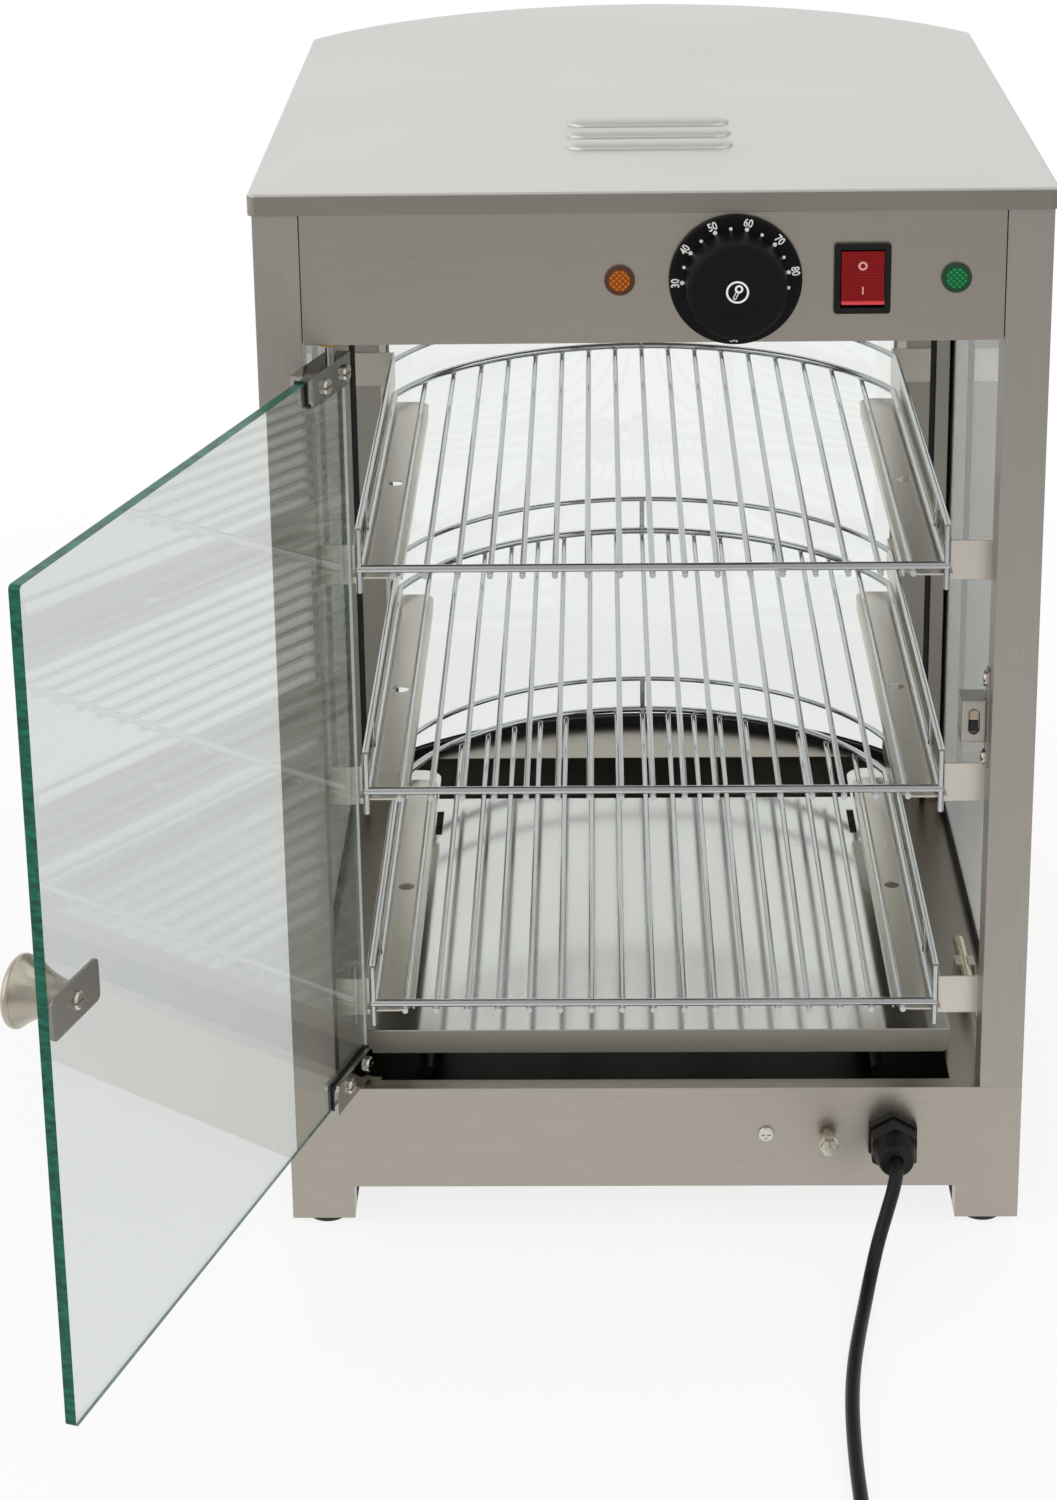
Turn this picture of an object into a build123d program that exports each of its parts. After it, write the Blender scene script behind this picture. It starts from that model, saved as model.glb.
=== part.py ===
from build123d import *
import os
from math import cos, pi, radians, sin, sqrt, tan

os.makedirs("parts", exist_ok=True)

# Heated display case, seen from the operator's side: -Y is the operator, +X to the right, +Z up.
# The origin lies on the table, under the centre of the straight part of the body.
# All sizes in millimetres.

# Body, seen from above
body_w = 366.0
straight_l = 372.0
bow = 99.0
sheet = 1.0

# Heights, from the table up
foot_h = 3.5
leg_h = 18.0
base_h = 55.5
doorway_h = 387.0
panel_h = 62.0
lid_h = 10.0

# Legs and base
leg_w = 31.5
leg_return = 14.0
foot_d = 21.0
foot_from_side = 17.0
foot_from_front = 12.0
foot_stem_d = 8.0
sill_d = 8.0
well_from_post = 14.0
rear_deck_y = 225.0
floor_flange = 10.0

# Posts and glass
post_w = 21.0
post_d = 20.0
post_return = 10.0
rear_post_y = 160.0
rear_tube_w = 14.0
rear_groove_w = 3.5
rear_groove_d = 10.0
rear_outer_w = 7.5
glass_t = 4.0
cover_gap = 0.8
seal_t = 1.2
seal_h = 6.0
side_gap = 0.5

# Lid
lid_overhang = 2.0
lid_corner_r = 4.0
lid_edge_r = 1.5
louvre_l = 81.0
louvre_d = 8.5
louvre_h = 3.2
louvre_pitch = 25.5
louvre_first_y = -43.0
louvre_count = 3

# Control panel and housing
panel_gap = 0.5
panel_lip = 20.0
panel_side_lip = 9.0
housing_from_post = 2.0
housing_back_y = -36.0
control_rise = 30.0
dial_from_post = 124.0
rocker_from_post = 66.0
power_lamp_from_post = 23.0
heating_lamp_from_post = 177.0

# Thermostat
dial_d = 61.0
dial_t = 2.5
grip_d = 47.0
grip_face_d = 45.0
grip_l = 20.5
grip_edge_r = 2.5
grip_dimple_d = 24.0
shaft_d = 6.0
shaft_play = 0.05
bushing_d = 9.6
thermostat_w = 40.0
thermostat_h = 34.0
thermostat_l = 34.0
knob_stand = 0.5

# Rocker switch
bezel_w = 26.0
bezel_h = 33.0
bezel_t = 2.0
paddle_w = 19.5
paddle_h = 24.4
paddle_tilt = 7.0
paddle_room = 1.5
paddle_f = 7.0
rocker_pivot_in = 4.0
switch_l = 22.0
rocker_pin_d = 3.0

# Lamps
lamp_d = 14.0
lamp_rim = 1.5
lens_d = 11.0
lamp_body_d = 9.5
lamp_l = 26.0

# Door
pivot_from_post = 12.5
pivot_in = 6.0
door_open = 108.3
door_edge_gap = 1.0
door_tail = 10.0
door_t = 5.0
door_corner_r = 2.0

# Pivot clamps
clamp_l = 45.2
clamp_tail = 10.2
clamp_t = 11.0
clamp_h = 15.0
clamp_wall = 2.0
clamp_corner_r = 4.0
pad_t = 1.0
lower_clamp_gap = 1.5
upper_clamp_gap = 7.0
clamp_screw_s = (-3.0, 20.0)

# Pivots
pin_d = 5.0
bush_wall = 1.5
bush_flange = 1.2
bush_flange_w = 1.2
bush_l = 6.0
hinge_plate_t = 4.0
running_gap = 0.3

# Door knob, strike and catch
knob_from_edge = 20.7
knob_z = 269.5
door_knob_d = 31.0
door_knob_neck_d = 15.0
door_knob_l = 20.5
door_knob_rim = 2.0
strike_l = 41.0
strike_h = 19.0
strike_t = 1.5
strike_corner_r = 3.0
catch_w = 12.5
catch_h = 22.0
catch_d = 14.0
catch_slot_w = 5.6
catch_slot_h = 13.4
catch_slot_d = 3.0
catch_screw_pitch = 41.0
catch_tab_t = 1.0
catch_tab_d = 9.0

# Wire racks
rack_pitch = 115.5
first_rack = 41.0
rack_from_post = 22.5
rack_from_front = 13.0
rack_corner_y = 108.0
rack_crown_y = 205.0
rack_bend_r = 9.0
bar_d = 4.0
wire_d = 3.0
wire_pitch = 15.5
weld = 0.3
guard_rise = 20.0
guard_drop = 12.0
guard_strut_y = -122.0
rack_names = ("lower_rack", "middle_rack", "upper_rack")

# Rack rails
rail_w = 22.0
rail_front_gap = 1.0
rail_back_y = 112.0
rail_corner_r = 8.0
rail_lip = 6.0
rail_tab_h = 20.0
rail_hole_d = 9.0
rail_hole_y = -30.0
rail_foot_margin = 1.0
rack_side_play = 0.8
rack_rest_gap = 0.3

# Tray cover over the element
tray_seat = 2.0
tray_top = 15.5
tray_front_y = -154.0
tray_back_y = 130.0
tray_ear_y = 172.0
tray_ear_w = 28.5
tray_ear_r = 12.0
tray_lip = 13.0
tray_slot_l = 32.0
tray_slot_w = 4.0
tray_slot_y = 96.0

# Heating element
element_d = 8.0
element_z = 50.0
element_bend_r = 26.0
element_from_well = 30.0
element_front_y = -120.0
element_back_y = 150.0
clip_t = 3.0
clip_w = 14.0

# Temperature sensor
bulb_d = 6.0
bulb_l = 60.0
bulb_from_post = 4.0
bulb_from_front = 110.0
bulb_rise = 11.0
capillary_d = 1.6
capillary_bend_r = 3.0
capillary_from_front = 12.0
capillary_rise = 18.0
capillary_step = 16.0
bulb_clip_l = 10.0
bulb_clip_w = 10.0

# Screws
pan_d = 8.0
pan_h = 2.0
screw_d = 4.0
screw_play = 0.05
slot_w = 1.0
slot_deep = 0.9
base_screw_x = 56.0
base_screw_z = 51.3
earth_x = 87.0
earth_z = 50.0
earth_d = 5.0
earth_nut_af = 8.0
earth_nut_h = 4.0

# Mains entry
gland_x = 119.0
gland_z = 50.0
gland_af = 24.0
gland_flange_t = 5.0
gland_l = 26.0
gland_mouth_d = 17.0
gland_nut_t = 4.0
gland_thread_d = 16.0
gland_inside = 7.0
block_w = 33.0
block_d = 13.0
block_h = 30.0
sleeve_d = 5.0
sleeve_bend_r = 8.0
sleeve_rise = 36.0

# Mains lead
cord_d = 6.8
cord_lift = 0.1
coil_x = 87.0
coil_r = 51.0
coil_step = 3.8
coil_halves = 5
coil_layer = 7.4
coil_y = -507.0
lead_out_r = 36.0
plug_w = 27.0
plug_l = 38.0
blade_w = 6.3
blade_t = 1.5
blade_l = 16.0
blade_spread = 12.7
earth_pin_d = 4.8

# Worked-out places
half_w = body_w / 2
front_y = -straight_l / 2
bow_r = (half_w**2 + bow**2) / (2 * bow)
bow_y = straight_l / 2 + bow - bow_r
base_z = foot_h + leg_h
deck_z = base_z + base_h
head_z = deck_z + doorway_h
rim_z = head_z + panel_h
top_z = rim_z + lid_h
post_top = top_z - sheet
post_in = half_w - post_w
glass_in = sheet + cover_gap + glass_t
tube_in = glass_in + seal_t
rear_post_x = half_w - tube_in - rear_outer_w - rear_groove_w - rear_tube_w
plate_back_y = front_y + sheet

control_z = head_z + control_rise
dial_x = post_in - dial_from_post
rocker_x = post_in - rocker_from_post
power_lamp_x = post_in - power_lamp_from_post
heating_lamp_x = post_in - heating_lamp_from_post

well_w = 2 * (post_in - well_from_post)
tray_w = well_w + 2 * tray_seat
housing_w = 2 * (post_in - housing_from_post)
element_half_w = well_w / 2 - element_from_well

pivot_x = -post_in + pivot_from_post
pivot_y = front_y + pivot_in
door_l = post_in - pivot_x - door_edge_gap
knob_s = door_l - knob_from_edge
pivot = (pivot_x, pivot_y)
door_bottom = deck_z + lower_clamp_gap
door_top = head_z - upper_clamp_gap
pad_slot = door_t + 2 * pad_t

side_glass_x = half_w - sheet - side_gap - glass_t / 2

rack_half = post_in - rack_from_post
rack_w = 2 * rack_half
rack_front_y = front_y + rack_from_front
wires_a_side = round(rack_half / wire_pitch) - 1
wire_count = 2 * wires_a_side + 1
rack_heights = [deck_z + first_rack + k * rack_pitch for k in range(len(rack_names))]
web_x = rack_half + bar_d / 2 + rack_side_play
rail_front_y = rack_front_y + wire_d / 2 + rail_front_gap
rail_screw_x = post_in + (sheet + post_return) / 2
rail_foot_w = rail_screw_x + pan_d / 2 + rail_foot_margin - web_x - sheet
post_back_y = front_y + post_d

bulb_x = post_in + bulb_from_post
bulb_y = front_y + bulb_from_front
capillary_y = front_y + capillary_from_front
capillary_back_y = capillary_y + capillary_step
capillary_top_z = head_z + capillary_rise
sleeve_top_z = head_z + sleeve_rise

catch_y = pivot_y + door_t / 2 + strike_t + running_gap
catch_tab_y = catch_y + sheet + catch_tab_d / 2
catch_screw_z = catch_screw_pitch / 2


def bow_edge_y(inset, x):
    """Distance behind the origin of the bowed outline, moved in by inset, at x."""
    return bow_y + sqrt((bow_r - inset) ** 2 - x**2)


def cabinet_outline(inset):
    """Outline of the body from above, moved in by inset: straight front and sides, bowed far side."""
    side = half_w - inset
    corner_y = bow_edge_y(inset, side)
    with BuildSketch() as shape:
        with BuildLine():
            Polyline((-side, corner_y), (-side, front_y + inset), (side, front_y + inset), (side, corner_y))
            ThreePointArc((side, corner_y), (0, bow_y + bow_r - inset), (-side, corner_y))
        make_face()
    return shape.sketch


def box_zone(x0, x1, y0, y1):
    """Rectangle from corner to corner, seen from above."""
    with BuildSketch() as zone:
        with Locations(((x0 + x1) / 2, (y0 + y1) / 2)):
            Rectangle(x1 - x0, y1 - y0)
    return zone.sketch


def facing_front(y, x=0.0, z=0.0):
    """Upright plane at y that looks at the operator: its own x is X, its own y is Z."""
    return Plane(origin=(x, y, z), x_dir=(1, 0, 0), z_dir=(0, -1, 0))


def facing_right(x, y=0.0, z=0.0):
    """Upright plane at x that looks along +X: its own x is Y, its own y is Z."""
    return Plane(origin=(x, y, z), x_dir=(0, 1, 0), z_dir=(1, 0, 0))


def pan_screw(at, grip, cross=False):
    """Pan-head screw: the head stands on the plane, the shank goes grip deep behind it."""
    with BuildPart() as screw:
        with BuildSketch(at):
            Circle(pan_d / 2)
        extrude(amount=pan_h)
        rim_edge = screw.edges().filter_by(GeomType.CIRCLE).sort_by(Axis(at.origin, at.z_dir))[-1]
        fillet(rim_edge, pan_h / 2)
        with BuildSketch(at.offset(pan_h)):
            if cross:
                Rectangle(pan_d * 0.6, slot_w)
                Rectangle(slot_w, pan_d * 0.6)
            else:
                Rectangle(pan_d, slot_w)
        extrude(amount=-slot_deep, mode=Mode.SUBTRACT)
        with BuildSketch(at):
            Circle(screw_d / 2)
        extrude(amount=-grip)
    return screw.part


def save(piece, name):
    """Label a finished piece and write it under its name."""
    piece.label = name
    export_step(piece, f"parts/{name}.step")


outer = cabinet_outline(0)
inner = cabinet_outline(sheet)

# Base: skirt, sill and deck, with the four legs folded from the same sheet
leg_in = half_w - leg_w
leg_front = front_y + leg_w
leg_back = straight_l / 2 - leg_w
far_y = bow_edge_y(0, 0)
leg_zone = (
    box_zone(-half_w, -leg_in, front_y, leg_front)
    + box_zone(leg_in, half_w, front_y, leg_front)
    + box_zone(-half_w, -leg_in, leg_back, far_y)
    + box_zone(leg_in, half_w, leg_back, far_y)
)
well_zone = box_zone(-well_w / 2, well_w / 2, front_y + sill_d, rear_deck_y)
well_limit = cabinet_outline(tube_in + 1.5 * seal_t)

bush_d = pin_d + 2 * (bush_wall + shaft_play)
gland_hole_d = gland_thread_d + 2 * screw_play
sleeve_x = post_in + post_w / 2 - sheet
sleeve_y = front_y + post_d - post_d / 4 - sheet / 2

with BuildPart() as base_shell:
    with BuildSketch(Plane.XY.offset(base_z)):
        add(outer)
        add(inner, mode=Mode.SUBTRACT)
    extrude(amount=base_h)
    with BuildSketch(Plane.XY.offset(foot_h)):
        add(outer)
        add(inner, mode=Mode.SUBTRACT)
        add(leg_zone, mode=Mode.INTERSECT)
    extrude(amount=leg_h)
    with BuildSketch(Plane.XY.offset(foot_h)):
        add(outer)
        add(leg_zone, mode=Mode.INTERSECT)
    extrude(amount=sheet)
    for side in (-1, 1):
        with BuildSketch(Plane.XY.offset(foot_h)):
            with Locations((side * (leg_in + sheet / 2), front_y + leg_return / 2)):
                Rectangle(sheet, leg_return)
            with Locations(
                (side * (half_w - leg_return / 2), leg_front - sheet / 2),
                (side * (half_w - leg_return / 2), leg_back + sheet / 2),
            ):
                Rectangle(leg_return, sheet)
        extrude(amount=leg_h)
    with BuildSketch(Plane.XY.offset(base_z)):
        add(outer)
        add(cabinet_outline(floor_flange), mode=Mode.SUBTRACT)
    extrude(amount=sheet)
    with BuildSketch(Plane.XY.offset(deck_z - sheet)):
        add(outer)
        add(well_zone & well_limit, mode=Mode.SUBTRACT)
        with Locations(pivot):
            Circle(bush_d / 2, mode=Mode.SUBTRACT)
        with Locations((sleeve_x, sleeve_y)):
            Circle(sleeve_d / 2 + running_gap, mode=Mode.SUBTRACT)
    extrude(amount=sheet)
    with BuildSketch(facing_front(plate_back_y)):
        with Locations((gland_x, gland_z)):
            Circle(gland_hole_d / 2)
        with Locations((base_screw_x, base_screw_z)):
            Circle(screw_d / 2 + screw_play)
        with Locations((earth_x, earth_z)):
            Circle(earth_d / 2 + screw_play)
    extrude(amount=sheet, mode=Mode.SUBTRACT)
    foot_places = [
        (sx * (half_w - foot_from_side), y)
        for sx in (-1, 1)
        for y in (front_y + foot_from_front, straight_l / 2 - foot_from_front)
    ]
    with BuildSketch(Plane.XY.offset(foot_h)):
        with Locations(*foot_places):
            Circle(foot_stem_d / 2)
    extrude(amount=sheet, mode=Mode.SUBTRACT)
save(base_shell.part, "base_shell")

with BuildPart() as rubber_feet:
    with BuildSketch():
        with Locations(*foot_places):
            Circle(foot_d / 2)
    extrude(amount=foot_h)
    fillet(rubber_feet.edges().filter_by(GeomType.CIRCLE).group_by(Axis.Z)[0], foot_h / 3)
    with BuildSketch(Plane.XY.offset(foot_h)):
        with Locations(*foot_places):
            Circle(foot_stem_d / 2)
    extrude(amount=sheet + foot_h / 2)
save(rubber_feet.part, "rubber_feet")

# Floor plate on the skirt's inner flange
floor_z = base_z + sheet
floor_top = floor_z + sheet
with BuildPart() as base_floor:
    with BuildSketch(Plane.XY.offset(floor_z)):
        add(cabinet_outline(sheet + running_gap))
    extrude(amount=sheet)
save(base_floor.part, "base_floor")

# Heating element: one tube bent to and fro under the tray cover, on clips from the floor
lane = element_half_w * 2 / 3
element_route = [
    (element_half_w, element_front_y),
    (element_half_w, element_back_y),
    (element_half_w - lane, element_back_y),
    (element_half_w - lane, element_front_y + 2 * element_bend_r),
    (element_half_w - 2 * lane, element_front_y + 2 * element_bend_r),
    (element_half_w - 2 * lane, element_back_y),
    (-element_half_w, element_back_y),
    (-element_half_w, element_front_y),
]
with BuildPart() as heating_element:
    with BuildLine(Plane.XY.offset(element_z)):
        FilletPolyline(*element_route, radius=element_bend_r)
    with BuildSketch(facing_front(element_front_y, element_half_w, element_z)):
        Circle(element_d / 2)
    sweep()
save(heating_element.part, "heating_element")

clip_rows = (element_front_y + 3 * element_bend_r, element_back_y - 2 * element_bend_r)
clip_places = [(sx * element_half_w, y) for sx in (-1, 1) for y in clip_rows]
with BuildPart() as element_clips:
    with BuildSketch(Plane.XY.offset(floor_top)):
        with Locations(*clip_places):
            Rectangle(clip_w, clip_t)
    extrude(amount=element_z - floor_top)
    with BuildSketch(facing_front(clip_rows[0] - clip_t)):
        with Locations(*[(sx * element_half_w, element_z) for sx in (-1, 1)]):
            Circle(element_d / 2)
    extrude(amount=-(clip_rows[1] - clip_rows[0] + 2 * clip_t), mode=Mode.SUBTRACT)
save(element_clips.part, "element_clips")

# Tray cover: plate with a front lip, side flanges that stand on the deck, and two rear ears
tray_z = deck_z + tray_top
tray_half = tray_w / 2
with BuildPart() as tray_cover:
    with BuildSketch(Plane.XY.offset(tray_z - sheet)):
        add(box_zone(-tray_half, tray_half, tray_front_y, tray_back_y))
        for side in (-1, 1):
            with Locations((side * (tray_half - tray_ear_w / 2), (tray_back_y + tray_ear_y) / 2)):
                ear = Rectangle(tray_ear_w, tray_ear_y - tray_back_y)
            fillet(ear.vertices().group_by(Axis.Y)[-1].sort_by(Axis.X)[0 if side > 0 else -1], tray_ear_r)
            with Locations((side * (tray_half - tray_ear_w - tray_slot_w / 2), tray_slot_y)):
                Rectangle(tray_slot_w, tray_slot_l, mode=Mode.SUBTRACT)
    extrude(amount=sheet)
    with BuildSketch(facing_front(tray_front_y + sheet)):
        with Locations((0, tray_z - tray_lip / 2)):
            lip = Rectangle(tray_w, tray_lip)
        fillet(lip.vertices().group_by(Axis.Y)[0], tray_lip / 3)
    extrude(amount=sheet)
    for side in (-1, 1):
        with BuildSketch(Plane.XY.offset(deck_z)):
            with Locations((side * (tray_half - sheet / 2), (tray_front_y + tray_ear_y) / 2 + sheet)):
                Rectangle(sheet, tray_ear_y - tray_front_y - 2 * sheet)
        extrude(amount=tray_top - sheet)
save(tray_cover.part, "tray_cover")

# Front posts: folded channels, open towards the glass
post_h = post_top - deck_z
for name, side in (("left_front_post", -1), ("right_front_post", 1)):
    with BuildPart() as front_post:
        with BuildSketch(Plane.XY.offset(deck_z)):
            add(box_zone(post_in, half_w, front_y, post_back_y))
            add(
                box_zone(post_in + sheet, half_w - sheet, front_y + sheet, post_back_y),
                mode=Mode.SUBTRACT,
            )
            add(box_zone(post_in, post_in + sheet + post_return, post_back_y - sheet, post_back_y))
        extrude(amount=post_h)
        with BuildSketch(facing_front(post_back_y)):
            with Locations(*[(rail_screw_x, z) for z in rack_heights]):
                Circle(screw_d / 2 + screw_play)
            if side > 0:
                with Locations((bulb_x, deck_z + bulb_rise)):
                    Circle(capillary_d / 2 + running_gap)
        extrude(amount=sheet, mode=Mode.SUBTRACT)
        if side > 0:
            with BuildSketch(facing_right(post_in)):
                with Locations((sleeve_y, sleeve_top_z)):
                    Circle(sleeve_d / 2 + running_gap)
                with Locations((capillary_y, capillary_top_z)):
                    Circle(capillary_d / 2 + running_gap)
                with Locations(*[(catch_tab_y, knob_z + sz * catch_screw_z) for sz in (-1, 1)]):
                    Circle(screw_d / 2 + screw_play)
            extrude(amount=sheet, mode=Mode.SUBTRACT)
    save(front_post.part if side > 0 else mirror(front_post.part, about=Plane.YZ), name)

# Rear posts: tube and outer channel with a groove between them, and a cover along the bowed edge
tube_x1 = rear_post_x + rear_tube_w
outer_x0 = tube_x1 + rear_groove_w
outer_x1 = half_w - tube_in
web_y = bow_edge_y(tube_in, outer_x1)
tube_limit = cabinet_outline(tube_in)
hollow_limit = cabinet_outline(tube_in + sheet)
with BuildPart() as right_rear_post:
    with BuildSketch(Plane.XY.offset(deck_z)):
        add(box_zone(rear_post_x, outer_x1, rear_post_y, far_y) & tube_limit)
        add(
            box_zone(rear_post_x + sheet, tube_x1 - sheet, rear_post_y + sheet, far_y) & hollow_limit,
            mode=Mode.SUBTRACT,
        )
        add(
            box_zone(outer_x0 + sheet, outer_x1 - sheet, rear_post_y + sheet, web_y - sheet),
            mode=Mode.SUBTRACT,
        )
        add(box_zone(tube_x1, outer_x0, rear_post_y, rear_post_y + rear_groove_d), mode=Mode.SUBTRACT)
        add(box_zone(outer_x1 - sheet / 2, half_w - sheet / 2, web_y - sheet, web_y))
        add((box_zone(rear_post_x, half_w, rear_post_y, far_y) & outer) - inner)
    extrude(amount=post_h)
save(right_rear_post.part, "right_rear_post")
save(mirror(right_rear_post.part, about=Plane.YZ), "left_rear_post")

# Side glass in its seal frame
glass_z = deck_z + seal_t
glass_top = post_top - seal_t
side_front_y = front_y + sheet + seal_t + side_gap
side_back_y = web_y - sheet - seal_t - side_gap
side_l = side_back_y - side_front_y
glass_h = glass_top - glass_z
with BuildPart() as right_side_glass:
    with BuildSketch(facing_right(side_glass_x - glass_t / 2)):
        with Locations(((side_front_y + side_back_y) / 2, (glass_z + glass_top) / 2)):
            Rectangle(side_l, glass_h)
    extrude(amount=glass_t)
save(right_side_glass.part, "right_side_glass")
save(mirror(right_side_glass.part, about=Plane.YZ), "left_side_glass")

seal_w = glass_t + 2 * side_gap
frame_l = side_l + 2 * seal_t
frame_h = glass_h + 2 * seal_t
with BuildPart() as side_seal:
    with BuildSketch(facing_right(side_glass_x - seal_w / 2)):
        with Locations(((side_front_y + side_back_y) / 2, (glass_z + glass_top) / 2)):
            Rectangle(frame_l, frame_h)
            Rectangle(frame_l - 2 * seal_h, frame_h - 2 * seal_h, mode=Mode.SUBTRACT)
    extrude(amount=seal_w)
    add(right_side_glass.part, mode=Mode.SUBTRACT)
with BuildPart() as side_seals:
    add(side_seal.part)
    mirror(about=Plane.YZ)
save(side_seals.part, "side_seals")

# Curved glass on the customer's side, with seals at the deck, under the lid and along the posts
glass_cut_y = web_y + seal_t + 2 * side_gap
far_zone = box_zone(-half_w, half_w, glass_cut_y, far_y)
with BuildPart() as curved_glass:
    with BuildSketch(Plane.XY.offset(glass_z)):
        add(cabinet_outline(sheet + cover_gap))
        add(cabinet_outline(glass_in), mode=Mode.SUBTRACT)
        add(far_zone, mode=Mode.INTERSECT)
    extrude(amount=glass_h)
save(curved_glass.part, "curved_glass")

bow_zone = box_zone(-rear_post_x + side_gap, rear_post_x - side_gap, glass_cut_y, far_y)
strip_zone = box_zone(rear_post_x + side_gap, outer_x1 - side_gap, glass_cut_y, far_y)
strip_zone = strip_zone + mirror(strip_zone, about=Plane.YZ)
seal_outer = cabinet_outline(sheet + cover_gap / 2)
with BuildPart() as curved_seals:
    for z in (deck_z, post_top - seal_h):
        with BuildSketch(Plane.XY.offset(z)):
            add(seal_outer)
            add(cabinet_outline(glass_in + 2 * seal_t), mode=Mode.SUBTRACT)
            add(bow_zone, mode=Mode.INTERSECT)
        extrude(amount=seal_h)
    with BuildSketch(Plane.XY.offset(deck_z)):
        add(cabinet_outline(glass_in))
        add(tube_limit, mode=Mode.SUBTRACT)
        add(strip_zone, mode=Mode.INTERSECT)
    extrude(amount=post_h)
    add(curved_glass.part, mode=Mode.SUBTRACT)
save(curved_seals.part, "curved_seals")

# Groove strips in the rear posts
with BuildPart() as groove_strips:
    with BuildSketch(Plane.XY.offset(deck_z)):
        add(box_zone(tube_x1, outer_x0, rear_post_y + sheet, rear_post_y + rear_groove_d))
        mirror(about=Plane.YZ)
    extrude(amount=post_h)
save(groove_strips.part, "groove_strips")

# Lid with three louvres, open towards the customer's side
louvre_mid = louvre_l - 2 * louvre_d
with BuildPart() as louvre:
    with BuildSketch(facing_right(-louvre_mid / 2)):
        with BuildLine():
            EllipticalCenterArc((0, 0), louvre_d, louvre_h, start_angle=90, arc_size=90)
            Polyline((-louvre_d, 0), (0, 0), (0, louvre_h))
        make_face()
    extrude(amount=louvre_mid)
    for side in (-1, 1):
        with BuildSketch(facing_right(side * louvre_mid / 2)):
            with BuildLine():
                EllipticalCenterArc((0, 0), louvre_d, louvre_h, start_angle=90, arc_size=90)
                Polyline((-louvre_d, 0), (0, 0), (0, louvre_h))
            make_face()
        revolve(axis=Axis((side * louvre_mid / 2, 0, 0), (0, 0, side)), revolution_arc=90)
hood = louvre.part
louvre_ys = [louvre_first_y - k * louvre_pitch for k in range(louvre_count)]
with BuildPart() as top_cover:
    with BuildSketch(Plane.XY.offset(rim_z)):
        add(cabinet_outline(-lid_overhang))
    extrude(amount=lid_h)
    fillet(top_cover.edges().filter_by(Axis.Z), lid_corner_r)
    fillet(top_cover.edges().group_by(Axis.Z)[-1], lid_edge_r)
    with BuildSketch(Plane.XY.offset(rim_z)) as rim:
        add(cabinet_outline(sheet - lid_overhang))
        fillet(rim.vertices(), lid_corner_r - sheet)
    extrude(amount=lid_h - sheet, mode=Mode.SUBTRACT)
    for y in louvre_ys:
        add(hood.moved(Location((0, y, top_z))))
        add(hood.moved(Location((0, y, top_z - sheet))), mode=Mode.SUBTRACT)
save(top_cover.part, "top_cover")

# Control panel between the front posts, over the doorway
panel_half = post_in - panel_gap
panel_top = rim_z + lid_h / 2
control_plane = facing_front(plate_back_y)
with BuildPart() as control_panel:
    with BuildSketch(control_plane):
        with Locations((0, (head_z + panel_top) / 2)):
            Rectangle(2 * panel_half, panel_top - head_z)
        with Locations((dial_x, control_z)):
            Circle(bushing_d / 2 + screw_play, mode=Mode.SUBTRACT)
        with Locations((rocker_x, control_z)):
            Rectangle(bezel_w - 2 * sheet, bezel_h - 2 * sheet, mode=Mode.SUBTRACT)
        with Locations((power_lamp_x, control_z), (heating_lamp_x, control_z)):
            Circle(lamp_body_d / 2 + screw_play, mode=Mode.SUBTRACT)
    extrude(amount=sheet)
    with BuildSketch(Plane.XY.offset(head_z)):
        add(box_zone(-panel_half, panel_half, plate_back_y, front_y + panel_lip))
        with Locations(pivot):
            Circle(bush_d / 2, mode=Mode.SUBTRACT)
    extrude(amount=sheet)
    with BuildSketch(Plane.XY.offset(head_z)):
        for side in (-1, 1):
            with Locations((side * (panel_half - sheet / 2), plate_back_y + panel_side_lip / 2)):
                Rectangle(sheet, panel_side_lip)
    extrude(amount=panel_top - head_z)
save(control_panel.part, "control_panel")

# Housing behind the panel, from the panel's lip back under the louvres
housing_front_y = front_y + panel_lip
with BuildPart() as control_housing:
    with BuildSketch(Plane.XY.offset(head_z)):
        add(box_zone(-housing_w / 2, housing_w / 2, housing_front_y, housing_back_y))
    extrude(amount=sheet)
    with BuildSketch(Plane.XY.offset(head_z)):
        add(box_zone(-housing_w / 2, housing_w / 2, housing_front_y, housing_back_y))
        add(
            box_zone(sheet - housing_w / 2, housing_w / 2 - sheet, housing_front_y, housing_back_y - sheet),
            mode=Mode.SUBTRACT,
        )
    extrude(amount=post_top - head_z)
save(control_housing.part, "control_housing")

# Thermostat: body and bushing behind the panel, turning shaft, dial and grip in front
bushing_end = front_y - 2 * sheet
with BuildPart() as thermostat_body:
    with BuildSketch(facing_front(plate_back_y + thermostat_l)):
        with Locations((dial_x, control_z)):
            Rectangle(thermostat_w, thermostat_h)
    extrude(amount=thermostat_l)
    with BuildSketch(facing_front(plate_back_y)):
        with Locations((dial_x, control_z)):
            Circle(bushing_d / 2)
    extrude(amount=plate_back_y - bushing_end)
    with BuildSketch(facing_front(plate_back_y + thermostat_l / 2)):
        with Locations((dial_x, control_z)):
            Circle(shaft_d / 2 + shaft_play)
    extrude(amount=thermostat_l / 2 + sheet + 2 * sheet, mode=Mode.SUBTRACT)
save(thermostat_body.part, "thermostat_body")

grip_base_y = front_y - knob_stand - dial_t
grip_front_y = grip_base_y - grip_l
shaft_front_y = grip_front_y + grip_l / 4
with BuildPart() as thermostat_shaft:
    with BuildSketch(facing_front(plate_back_y + thermostat_l / 2 - running_gap)):
        with Locations((dial_x, control_z)):
            Circle(shaft_d / 2)
    extrude(amount=plate_back_y + thermostat_l / 2 - running_gap - shaft_front_y)
save(thermostat_shaft.part, "thermostat_shaft")

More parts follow.
